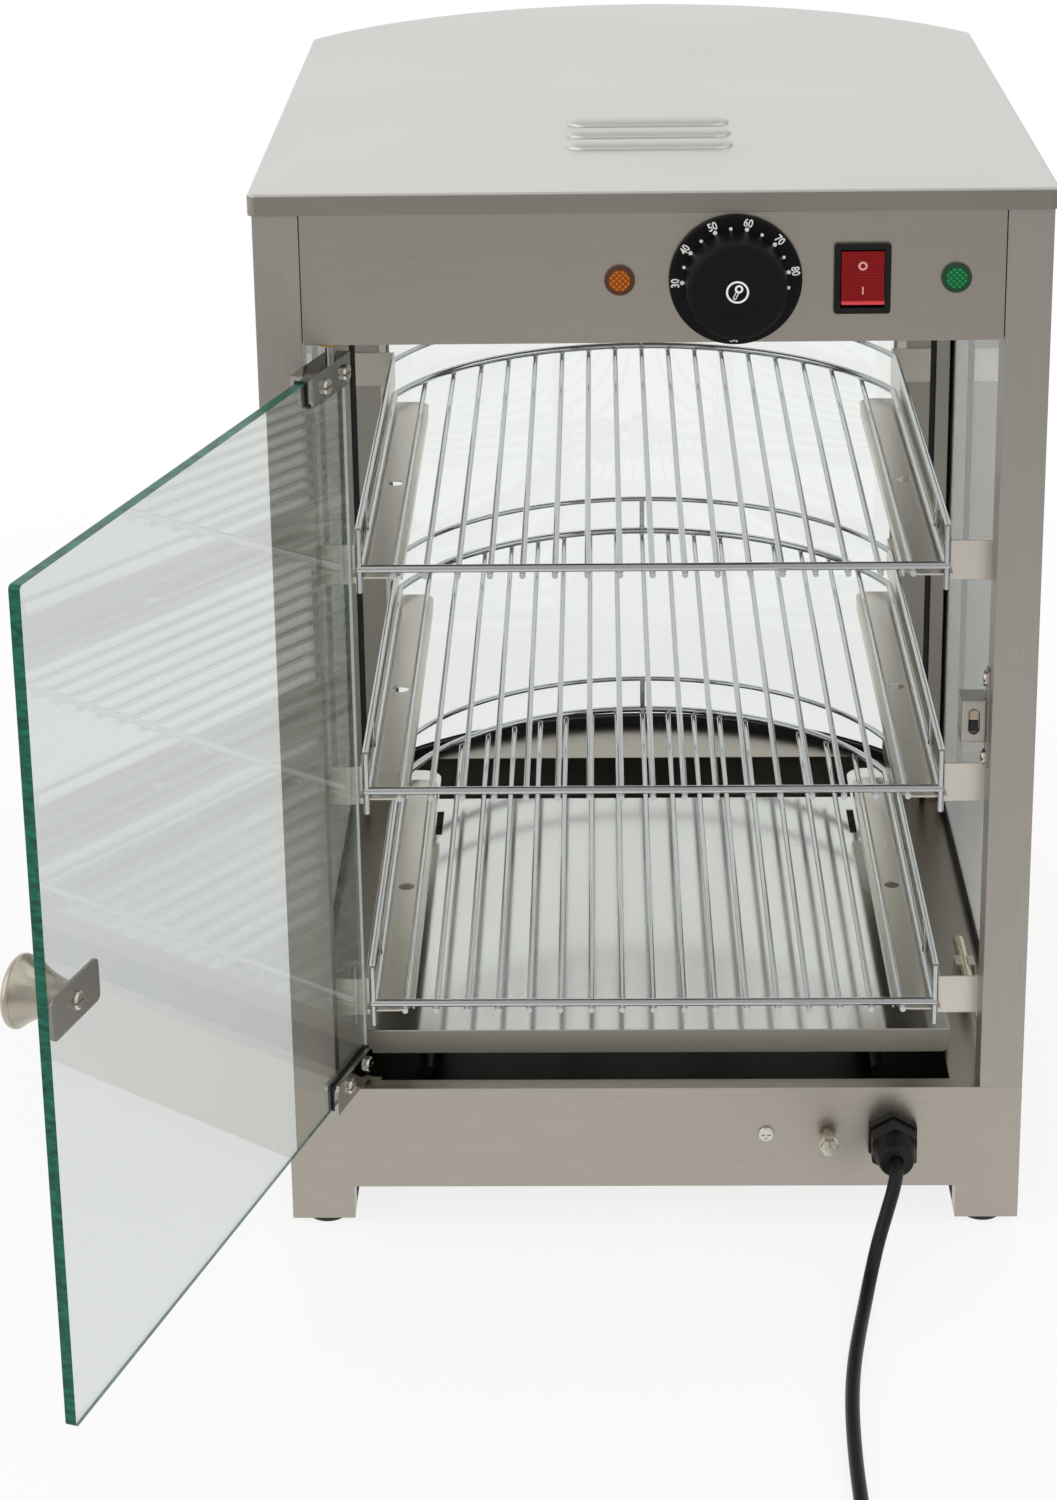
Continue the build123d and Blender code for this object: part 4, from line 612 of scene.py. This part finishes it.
def dyed_plastic(name, hex_value, dark_hex, pitch, centre, turn=0.0, rim=None, lip=None):
    """Dyed clear plastic with a grid of studs 'pitch' mm apart, around a centre in mm.

    'rim' is the radius in mm past which it is dark. 'lip' gives a height over the centre in mm and the
    colour under it.
    """
    material, tree = new_material(name)
    place = add_node(tree, "ShaderNodeTexCoord").outputs["Object"]
    centred = add_node(tree, "ShaderNodeMapping", {
        "Vector": place, "Location": tuple(-c * MM for c in centre)})
    turned = add_node(tree, "ShaderNodeMapping", {
        "Vector": centred, "Rotation": (0, turn, 0), "Scale": (1 / (pitch * MM), 0, 1 / (pitch * MM))})
    studs = add_node(tree, "ShaderNodeTexVoronoi", {
        "Vector": turned, "Scale": 1.0, "Randomness": 0.0}, distance="CHEBYCHEV")
    fade = add_node(tree, MAP_RANGE, {"Value": studs, "From Min": 0.15, "From Max": 0.5})
    layers = [(fade, dark_hex)]
    if rim:
        flat = add_node(tree, "ShaderNodeVectorMath", {0: centred, 1: (1, 0, 1)}, operation="MULTIPLY")
        reach = add_node(tree, "ShaderNodeVectorMath", {0: flat}, operation="LENGTH")
        outer = add_node(tree, MAP_RANGE, {
            "Value": reach.outputs["Value"], "From Min": rim * MM, "From Max": (rim + RIM_BLEND) * MM})
        layers.append((outer, dark_hex))
    if lip:
        level = add_node(tree, "ShaderNodeSeparateXYZ", {0: centred})
        under = add_node(tree, MAP_RANGE, {
            "Value": level.outputs["Z"], "From Min": (lip[0] + LIP_BLEND) * MM,
            "From Max": (lip[0] - LIP_BLEND) * MM})
        layers.append((under, lip[1]))
    colour = linear(hex_value)
    for share, layer_hex in layers:
        colour = add_node(tree, "ShaderNodeMix", {
            0: share, 6: colour, 7: linear(layer_hex)}, data_type="RGBA").outputs[2]
    relief = add_node(tree, "ShaderNodeBump", {
        "Height": studs, "Strength": 0.25, "Distance": RELIEF_HEIGHT * MM})
    skin = add_node(tree, "ShaderNodeBsdfPrincipled", {
        "Base Color": colour, "IOR": 1.58, "Roughness": 0.3, "Specular IOR Level": 0.16, "Normal": relief})
    add_node(tree, "ShaderNodeOutputMaterial", {"Surface": skin})
    return material

print("relief in mm:", RELIEF_HEIGHT)

# %% [markdown]
# The rocker is red, with a paler front lip. The lamp for power is green, the one for heating amber, and
# each lens sits in a darker rim of its own colour.

# %% Rocker and lamps
CONTROL_Z = 494
DIAL_X = 38
ROCKER_X = 96
LENS_RIM = 4.7
DIAMOND = math.radians(45)
dress(dyed_plastic("red_polycarbonate", "9b0810", "630105", 1.3, (ROCKER_X, 0, CONTROL_Z),
                   lip=(-9.6, "d9474c")), "rocker_paddle")
for lamp, x, dye, bright, dark, rim_hex in (
        ("power_lamp", 139, "green", "1e9350", "053f25", "0a3b22"),
        ("heating_lamp", -15, "amber", "cb6d16", "6b3205", "4a2808")):
    dress(dyed_plastic(f"{dye}_polycarbonate", bright, dark, 1.9, (x, 0, CONTROL_Z), DIAMOND, LENS_RIM),
          f"{lamp}_lens")
    dress(moulded(f"dark_{dye}_rim", rim_hex, 0.3, 0.5, 0.1), f"{lamp}_body")

# %% [markdown]
# ## Wire racks
# Each rack is welded from bright drawn wire and then chrome plated: a 4 mm frame bent round the bowed
# glass, a 3 mm guard wire above it on short uprights, and seventeen 3 mm wires under the frame, each
# as long as the bow allows at its place. The whole rack follows a rule, so Geometry Nodes make it: the
# bent frame comes in as a path, the tree adds the cross wires with their lengths from the circle of
# the bow, lays a round profile along all of them, and sets a weld where two wires meet.

# %% Geometry Nodes tools
SHARP_FOLD = math.radians(50)


def new_tree(name, **inputs):
    """A Geometry Nodes tree with named inputs, and the sockets of its input node by name."""
    tree = bpy.data.node_groups.new(name, "GeometryNodeTree")
    tree.interface.new_socket("Geometry", in_out="OUTPUT", socket_type="NodeSocketGeometry")
    tree.interface.new_socket("Geometry", in_out="INPUT", socket_type="NodeSocketGeometry")
    kinds = {int: "NodeSocketInt", float: "NodeSocketFloat"}
    for key, value in inputs.items():
        socket = tree.interface.new_socket(key, in_out="INPUT", socket_type=kinds[type(value)])
        socket.default_value = value
    return tree, add_node(tree, "NodeGroupInput").outputs


def end_tree(tree, geometry, material, smooth=True):
    """Ends a tree as a plain mesh with a material: realized, shaded, painted."""
    shaded = add_node(tree, "GeometryNodeRealizeInstances", {0: geometry})
    shaded = add_node(tree, "GeometryNodeSetShadeSmooth", {"Geometry": shaded, "Shade Smooth": smooth})
    if smooth:
        fold = add_node(tree, "GeometryNodeInputMeshEdgeAngle")
        crease = add_node(tree, MATH, {0: fold, 1: SHARP_FOLD}, operation="GREATER_THAN")
        shaded = add_node(tree, "GeometryNodeSetShadeSmooth", {
            "Geometry": shaded, "Selection": crease, "Shade Smooth": False}, domain="EDGE")
    painted = add_node(tree, "GeometryNodeSetMaterial", {"Geometry": shaded, "Material": material})
    add_node(tree, "NodeGroupOutput", {0: painted})
    print(tree.name, "nodes:", len(tree.nodes))


# %% [markdown]
# A tree works as a modifier. Its inputs are set by the identifiers of their sockets, before Blender first
# evaluates the piece.

# %% Growing a piece
def grow(piece, tree, **inputs):
    """Runs a tree on a piece and keeps the result as its plain mesh."""
    modifier = piece.modifiers.new(tree.name, "NODES")
    modifier.node_group = tree
    for item in tree.interface.items_tree:
        if item.in_out == "INPUT" and item.name in inputs:
            modifier[item.identifier] = inputs[item.name]
    bpy.context.view_layer.update()
    grown = piece.evaluated_get(bpy.context.evaluated_depsgraph_get())
    mesh = bpy.data.meshes.new_from_object(grown)
    piece.modifiers.remove(modifier)
    piece.data = mesh


def new_piece(name, mesh, body, slot, replaces=(), tree=None, **inputs):
    piece = put(name, mesh)
    if tree:
        grow(piece, tree, **inputs)
    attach(piece, body)
    if replaces:
        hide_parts(*replaces)
    print(name, "faces:", len(piece.data.polygons))


# %% [markdown]
# The row of cross wires starts as a mesh line with one point for each wire. On each point stands a line
# of length one, stretched to the bow: at a distance x from the middle, the circle of radius r reaches
# sqrt(r*r - x*x) past its centre.

# %% Row of cross wires
tree, given = new_tree("wire_rack", wires=17, pitch=0.0155, front=-0.173, bow_radius=0.14,
                       bow_centre=0.06, level=0.1, wire_radius=0.0015, bar_radius=0.002)
spaces = add_node(tree, MATH, {0: given["wires"], 1: 1}, operation="SUBTRACT")
half_row = add_node(tree, MATH, {0: spaces, 1: -0.5}, operation="MULTIPLY")
row_start = add_node(tree, MATH, {0: half_row, 1: given["pitch"]}, operation="MULTIPLY")
wire_tip = add_node(tree, MATH, {0: given["front"], 1: given["bar_radius"]}, operation="SUBTRACT")
both_radii = add_node(tree, MATH, {0: given["bar_radius"], 1: given["wire_radius"]}, operation="ADD")
under = add_node(tree, MATH, {0: given["level"], 1: both_radii}, operation="SUBTRACT")
start = add_node(tree, "ShaderNodeCombineXYZ", {"X": row_start, "Y": wire_tip, "Z": under})
step = add_node(tree, "ShaderNodeCombineXYZ", {"X": given["pitch"]})
row = add_node(tree, "GeometryNodeMeshLine", {
    "Count": given["wires"], "Start Location": start, "Offset": step})
x_here = add_node(tree, "ShaderNodeSeparateXYZ", {0: add_node(tree, "GeometryNodeInputPosition")})
x_squared = add_node(tree, MATH, {0: x_here, 1: x_here}, operation="MULTIPLY")
r_squared = add_node(tree, MATH, {0: given["bow_radius"], 1: given["bow_radius"]}, operation="MULTIPLY")
left_over = add_node(tree, MATH, {0: r_squared, 1: x_squared}, operation="SUBTRACT")
past_centre = add_node(tree, MATH, {0: left_over}, operation="SQRT")
bow_y = add_node(tree, MATH, {0: given["bow_centre"], 1: past_centre}, operation="ADD")
reach = add_node(tree, MATH, {0: bow_y, 1: wire_tip}, operation="SUBTRACT")
unit = add_node(tree, "GeometryNodeCurvePrimitiveLine", {"Start": (0, 0, 0), "End": (0, 1, 0)})
stretch = add_node(tree, "ShaderNodeCombineXYZ", {"X": 1.0, "Y": reach, "Z": 1.0})
laid = add_node(tree, "GeometryNodeInstanceOnPoints", {"Points": row, "Instance": unit, "Scale": stretch})
wires = add_node(tree, "GeometryNodeRealizeInstances", {0: laid})
wires = add_node(tree, "GeometryNodeSetCurveRadius", {"Curve": wires, "Radius": given["wire_radius"]})
print("nodes of the row:", len(tree.nodes))

# %% [markdown]
# A path of the frame brings its thickness as an attribute, so one round profile, scaled by that radius,
# draws the thin wires and the thicker frame alike. A small ball at each end of a wire is its weld.

# %% Rack frame and welds
WIRE_SIDES = 14
WELD_RADIUS = 0.0017
frame_path = add_node(tree, "GeometryNodeMeshToCurve", {0: given["Geometry"]})
thick = add_node(tree, "GeometryNodeInputNamedAttribute", {"Name": "wire_radius"}, data_type="FLOAT")
bent = add_node(tree, "GeometryNodeSetCurveRadius", {"Curve": frame_path, "Radius": thick})
paths = add_node(tree, "GeometryNodeJoinGeometry", {0: [wires, bent]})
profile = add_node(tree, "GeometryNodeCurvePrimitiveCircle", {"Resolution": WIRE_SIDES, "Radius": 1.0})
radius_here = add_node(tree, "GeometryNodeInputRadius")
drawn = add_node(tree, "GeometryNodeCurveToMesh", {
    "Curve": paths, "Profile Curve": profile, "Scale": radius_here, "Fill Caps": True})
weld = add_node(tree, "GeometryNodeMeshUVSphere", {"Segments": 10, "Rings": 6, "Radius": WELD_RADIUS})
parts = [drawn]
for shift in (given["bar_radius"], reach):
    lift = add_node(tree, "ShaderNodeCombineXYZ", {"Y": shift, "Z": given["wire_radius"]})
    moved = add_node(tree, "GeometryNodeSetPosition", {"Geometry": row, "Offset": lift})
    parts.append(add_node(tree, "GeometryNodeInstanceOnPoints", {"Points": moved, "Instance": weld}))
end_tree(tree, add_node(tree, "GeometryNodeJoinGeometry", {0: parts}), rack_chrome)
rack_tree = tree

# %% [markdown]
# The paths of the frame and the guard are plain polylines in millimetres: straight sides, a bend at each
# far corner, and an arc through the crown.

# %% Bent wires
RACK_HALF = 139.5
RACK_FRONT = -173
RACK_CORNER = 108
RACK_CROWN = 205
RACK_BEND = 9
BAR_RADIUS = 2.0
WIRE_RADIUS = 1.5
BEND_STEPS = 8
ARC_STEPS = 96


def bow_circle(half):
    """Radius and centre of the circle through both corners and the crown of a bent wire."""
    sag = RACK_CROWN - RACK_CORNER
    radius = (half**2 + sag**2) / (2 * sag)
    return radius, RACK_CROWN - radius


def bent_path(half, level):
    """Points of a wire bent along both sides and round the bow, with a bend at each far corner."""
    radius, centre = bow_circle(half)
    bend_y = centre + math.sqrt((radius - RACK_BEND) ** 2 - (half - RACK_BEND) ** 2)
    turn = math.atan2(bend_y - centre, half - RACK_BEND)
    right = [(half, RACK_FRONT)]
    for k in range(BEND_STEPS + 1):
        a = turn * k / BEND_STEPS
        right.append((half - RACK_BEND + RACK_BEND * math.cos(a), bend_y + RACK_BEND * math.sin(a)))
    arc = [(radius * math.cos(a), centre + radius * math.sin(a))
           for a in (turn + (math.pi - 2 * turn) * k / ARC_STEPS for k in range(1, ARC_STEPS))]
    return [(x, y, level) for x, y in right + arc + [(-x, y) for x, y in reversed(right)]]


radius, centre = bow_circle(RACK_HALF)
print("radius of the bow in mm:", round(radius, 1))

# %% [markdown]
# The short uprights and the front bar are paths of two points. Each rack is one mesh on its own sliding
# body, and replaces the plain CAD rack.

# %% Three racks
GUARD_HALF = RACK_HALF + BAR_RADIUS - WIRE_RADIUS
GUARD_RISE = 20
GUARD_DROP = 12
GUARD_STRUT = -122
RACK_LEVELS = {"lower_rack": 118, "middle_rack": 233.5, "upper_rack": 349}
for name, level in RACK_LEVELS.items():
    paths = [(bent_path(RACK_HALF, level), BAR_RADIUS),
             (bent_path(GUARD_HALF, level + GUARD_RISE), WIRE_RADIUS),
             ([(x, RACK_FRONT, level) for x in (-RACK_HALF - WIRE_RADIUS, RACK_HALF + WIRE_RADIUS)],
              BAR_RADIUS),
             ([(0, RACK_CROWN, level), (0, RACK_CROWN, level + GUARD_RISE)], WIRE_RADIUS)]
    for side in (-GUARD_HALF, GUARD_HALF):
        paths.append(([(side, RACK_FRONT, level + z) for z in (-GUARD_DROP, GUARD_RISE)], WIRE_RADIUS))
        paths.append(([(side, GUARD_STRUT, level + z) for z in (0, GUARD_RISE)], WIRE_RADIUS))
    points, edges, radii = [], [], []
    for path, thickness in paths:
        edges += [(len(points) + k, len(points) + k + 1) for k in range(len(path) - 1)]
        points += [Vector(p) * MM for p in path]
        radii += [thickness * MM] * len(path)
    mesh = bpy.data.meshes.new(f"{name}_wires")
    mesh.from_pydata(points, edges, [])
    mesh.attributes.new("wire_radius", "FLOAT", "POINT").data.foreach_set("value", radii)
    new_piece(f"{name}_wires", mesh, name, "wire_steel", [name], rack_tree,
              level=level * MM, bow_radius=radius * MM, bow_centre=centre * MM)

# %% [markdown]
# ## Printed marks, and moulded marks with a painted highlight
# The dial carries white pad-printed numbers and dots, a ring with a small thermometer in it on the grip, and
# the rocker has a moulded circle and line, whose caught light is painted on them as a pale film: a painted
# highlight. Print is a film a few hundredths of a millimetre thick: each mark is a thin mesh laid on the
# surface that carries it. A ray from the operator's side finds the place and the tilt of that surface, and
# the marks are drawn in its own plane.

# %% Laying marks on a surface
from mathutils.bvhtree import BVHTree

FILM = 0.08


def surface_at(name, x, z):
    """Where a ray from the operator's side meets a CAD node at x, z in mm, and the outward direction."""
    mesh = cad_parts[name].data
    faces = BVHTree.FromPolygons([v.co for v in mesh.vertices], [p.vertices[:] for p in mesh.polygons])
    point, normal, _, _ = faces.ray_cast(Vector((x * MM, -1, z * MM)), Vector((0, 1, 0)))
    return point, normal if normal.y < 0 else -normal


def lay_on(name, x, z, up=90.0):
    """The place of a mark: its own x and y lie in the surface, its y towards 'up' degrees, its z outwards."""
    point, normal = surface_at(name, x, z)
    up_way = Vector((math.cos(math.radians(up)), 0, math.sin(math.radians(up))))
    up_way = (up_way - normal * up_way.dot(normal)).normalized()
    matrix = Matrix((up_way.cross(normal), up_way, normal)).transposed().to_4x4()
    matrix.translation = point
    return matrix


print("dial's face at y in mm:", round(surface_at("thermostat_knob", DIAL_X, CONTROL_Z)[0].y / MM, 1))

# %% [markdown]
# The films of one print are gathered in one mesh. Bars and rings are drawn straight into it.

# %% Bars and rings
def bar(bm, matrix, x0, y0, x1, y1):
    """Adds a thin rectangular film to a mesh."""
    made = bmesh.ops.create_cube(bm, size=1.0)["verts"]
    size = Matrix.Diagonal(((x1 - x0) * MM, (y1 - y0) * MM, FILM * MM, 1))
    shift = Matrix.Translation(Vector(((x0 + x1) / 2, (y0 + y1) / 2, FILM / 2)) * MM)
    bmesh.ops.transform(bm, matrix=matrix @ shift @ size, verts=made)


def ring(bm, matrix, x, y, outer, inner, start=0.0, sweep=360.0, steps=40):
    """Adds a thin flat ring, or a part of one, to a mesh."""
    loops = []
    closed = sweep >= 360
    for k in range(steps + (0 if closed else 1)):
        a = math.radians(start + sweep * k / steps)
        corner = []
        for reach, z in ((outer, 0), (outer, FILM), (inner, FILM), (inner, 0)):
            spot = Vector((x + reach * math.cos(a), y + reach * math.sin(a), z)) * MM
            corner.append(bm.verts.new(matrix @ spot))
        loops.append(corner)
    for k in range(steps):
        here, there = loops[k], loops[(k + 1) % len(loops)]
        for j in range(4):
            bm.faces.new((here[j], here[(j + 1) % 4], there[(j + 1) % 4], there[j]))
    if not closed:
        bm.faces.new(loops[0])
        bm.faces.new(loops[-1][::-1])


print("film in mm:", FILM)

# %% [markdown]
# Lettering is a text object first. It is made a mesh, and only then stretched to its size and laid in
# place.

# %% Lettering
def lettering(bm, words, height, width, matrix):
    """Adds lettering of that height and width in mm, centred on its place."""
    font = bpy.data.curves.new("mark", "FONT")
    font.body = words
    font.size = 1.0
    font.offset = 0.02
    font.extrude = 0.5
    font.resolution_u = 3
    carrier = put("mark", font)
    bpy.context.view_layer.update()
    mesh = bpy.data.meshes.new_from_object(carrier.evaluated_get(bpy.context.evaluated_depsgraph_get()))
    bpy.data.objects.remove(carrier)
    low = Vector([min(v.co[k] for v in mesh.vertices) for k in range(3)])
    high = Vector([max(v.co[k] for v in mesh.vertices) for k in range(3)])
    size = Matrix.Diagonal((width * MM / (high.x - low.x), height * MM / (high.y - low.y), FILM * MM, 1))
    centred = Matrix.Translation(-Vector(((low.x + high.x) / 2, (low.y + high.y) / 2, low.z)))
    mesh.transform(matrix @ size @ centred)
    bm.from_mesh(mesh)
    bpy.data.meshes.remove(mesh)


def finish_marks(name, bm, material, body):
    """Turns the gathered films into one piece that moves with its body."""
    bmesh.ops.recalc_face_normals(bm, faces=bm.faces)
    mesh = mesh_from(name, bm)
    mesh.materials.append(material)
    new_piece(name, mesh, body, "white_plastic")


# %% [markdown]
# The six numbers stand on the dial's skirt with their feet towards the middle, one step apart, and the
# degree sign stands below. The ring and the small thermometer sit on the grip, tilted to the left.

# %% Dial marks
NUMBER_REACH = 27.7
NUMBER_SIZE = (3.9, 4.2)
DOT_REACH = 24.5
FIRST_ANGLE = 182.0
NUMBER_STEP = 34.6
DEGREE_ANGLE = 268.5
DEGREE_REACH = 27.9
DEGREE_SIZE = (2.6, 3.6)
SIGN_TILT = math.radians(-25)
SIGN_RING = (5.2, 4.3)
BULB_AT = 1.6
BULB_RING = (1.9, 1.0)
STEM_ENDS = (-2.9, 0.1)
STEM_HALF = 0.8
STEM_WALL = 0.4

print_white = moulded("white_print", "f0f0ee", 0.5, 0.5, 0.05, gloss=0.2)
bm = bmesh.new()


def on_dial(angle, reach):
    """x and z in mm of a place on the dial, by its angle and its distance from the middle."""
    a = math.radians(angle)
    return DIAL_X + reach * math.cos(a), CONTROL_Z + reach * math.sin(a)


for k, words in enumerate(("30", "40", "50", "60", "70", "80")):
    angle = FIRST_ANGLE - k * NUMBER_STEP
    lettering(bm, words, *NUMBER_SIZE, lay_on("thermostat_knob", *on_dial(angle, NUMBER_REACH), up=angle))
lettering(bm, "°C", *DEGREE_SIZE,
          lay_on("thermostat_knob", *on_dial(DEGREE_ANGLE, DEGREE_REACH), up=DEGREE_ANGLE))
grip = lay_on("thermostat_knob", DIAL_X, CONTROL_Z)
ring(bm, grip, 0, 0, *SIGN_RING, steps=64)
tilted = grip @ Matrix.Rotation(SIGN_TILT, 4, "Z")
ring(bm, tilted, 0, BULB_AT, *BULB_RING)
for side in (-STEM_HALF, STEM_HALF - STEM_WALL):
    bar(bm, tilted, side, STEM_ENDS[0], side + STEM_WALL, STEM_ENDS[1])
ring(bm, tilted, 0, STEM_ENDS[0], STEM_HALF, STEM_HALF - STEM_WALL, start=180, sweep=180, steps=16)
finish_marks("dial_print", bm, print_white, "thermostat_dial")

# %% [markdown]
# The dots follow a rule, so Geometry Nodes set them: points on an arc, every second one smaller, each
# with a flat disc.

# %% Dot tree
DOT_SIDES = 20
tree, given = new_tree("dial_dots", dots=12, circle_radius=0.0248, first_angle=3.1, step_angle=0.3,
                       centre_x=0.038, centre_z=0.494, face_y=-0.2, big_radius=0.001,
                       small_radius=0.0008, film=0.00008)
count = add_node(tree, "GeometryNodeMeshLine", {"Count": given["dots"]})
number = add_node(tree, "GeometryNodeInputIndex")
turned = add_node(tree, MATH, {0: number, 1: given["step_angle"]}, operation="MULTIPLY")
angle = add_node(tree, MATH, {0: given["first_angle"], 1: turned}, operation="SUBTRACT")
spot = {"Y": given["face_y"]}
for axis, operation in (("X", "COSINE"), ("Z", "SINE")):
    part = add_node(tree, MATH, {0: angle}, operation=operation)
    offset = add_node(tree, MATH, {0: given["circle_radius"], 1: part}, operation="MULTIPLY")
    spot[axis] = add_node(tree, MATH, {0: given[f"centre_{axis.lower()}"], 1: offset}, operation="ADD")
placed = add_node(tree, "GeometryNodeSetPosition", {
    "Geometry": count, "Position": add_node(tree, "ShaderNodeCombineXYZ", spot)})
odd = add_node(tree, MATH, {0: number, 1: 2.0}, operation="MODULO")
less = add_node(tree, MATH, {0: given["big_radius"], 1: given["small_radius"]}, operation="SUBTRACT")
taken = add_node(tree, MATH, {0: odd, 1: less}, operation="MULTIPLY")
width = add_node(tree, MATH, {0: given["big_radius"], 1: taken}, operation="SUBTRACT")
disc = add_node(tree, "GeometryNodeMeshCylinder", {"Vertices": DOT_SIDES, "Radius": 1.0, "Depth": 1.0})
shape = add_node(tree, "ShaderNodeCombineXYZ", {"X": width, "Y": width, "Z": given["film"]})
dots = add_node(tree, "GeometryNodeInstanceOnPoints", {
    "Points": placed, "Instance": disc, "Rotation": (math.pi / 2, 0, 0), "Scale": shape})
end_tree(tree, dots, print_white, smooth=False)

# %% [markdown]
# The tree runs twice: for the row of the scale, and for the single dot that marks the off position.

# %% Dots on the dial
OFF_ANGLE = 253.0
skirt, _ = surface_at("thermostat_knob", *on_dial(120, DOT_REACH))
for name, dots_here, first in (("dial_scale_dots", 12, FIRST_ANGLE), ("dial_off_dot", 1, OFF_ANGLE)):
    mesh = bpy.data.meshes.new(name)
    mesh.from_pydata([(0, 0, 0)], [], [])
    new_piece(name, mesh, "thermostat_dial", "white_plastic", (), tree, dots=dots_here,
              circle_radius=DOT_REACH * MM, first_angle=math.radians(first),
              step_angle=math.radians(NUMBER_STEP / 2), centre_x=DIAL_X * MM, centre_z=CONTROL_Z * MM,
              face_y=skirt.y)

# %% [markdown]
# The rocker's circle and line are moulded into the red plastic; the light they catch is painted on them as a
# pale rose film, a painted highlight.

# %% Rocker marks
CIRCLE_ABOVE = 6.4
CIRCLE_RING = (2.1, 1.15)
LINE_BELOW = 4.8
LINE_SIZE = (-0.35, -1.7, 0.35, 1.7)
# The pale rose is a painted highlight on the moulded circle and line.
rose_highlight = moulded("rose_painted_highlight", "e3a09c", 0.4, 0.5, 0.05, gloss=0.3)
bm = bmesh.new()
ring(bm, lay_on("rocker_paddle", ROCKER_X, CONTROL_Z + CIRCLE_ABOVE), 0, 0, *CIRCLE_RING)
bar(bm, lay_on("rocker_paddle", ROCKER_X, CONTROL_Z - LINE_BELOW), *LINE_SIZE)
finish_marks("rocker_painted_highlight", bm, rose_highlight, "rocker")

# %% [markdown]
# ## Magnet of the catch
# In the slot of the catch sit a pale iron pole plate and, below it, the dark ferrite magnet. Two small
# chamfered blocks on the slot's floor are enough.

# %% Catch magnet
CATCH_X = 154.75
CATCH_Z = 269.5
BLOCK_WIDTH = 4.4
BLOCK_DEPTH = 1.6
CHAMFER = 0.4
pole_tan = moulded("pole_plate", "b9a78f", 0.45, 0.6, 0.1)
ferrite = moulded("ferrite_magnet", "0c0b0b", 0.5, 0.4, 0.2)
slot_floor, _ = surface_at("magnetic_catch", CATCH_X, CATCH_Z)
for name, z0, z1, material in (("catch_pole", 0.2, 5.6, pole_tan), ("catch_ferrite", -5.6, 0.0, ferrite)):
    bm = bmesh.new()
    made = bmesh.ops.create_cube(bm, size=1.0)["verts"]
    size = Matrix.Diagonal((BLOCK_WIDTH * MM, BLOCK_DEPTH * MM, (z1 - z0) * MM, 1))
    middle = Vector((CATCH_X * MM, slot_floor.y - BLOCK_DEPTH / 2 * MM, (CATCH_Z + (z0 + z1) / 2) * MM))
    bmesh.ops.transform(bm, matrix=Matrix.Translation(middle) @ size, verts=made)
    bmesh.ops.bevel(bm, geom=bm.edges[:], offset=CHAMFER * MM, segments=2, affect="EDGES")
    mesh = mesh_from(name, bm)
    mesh.materials.append(material)
    new_piece(name, mesh, "cabinet", "black_plastic")
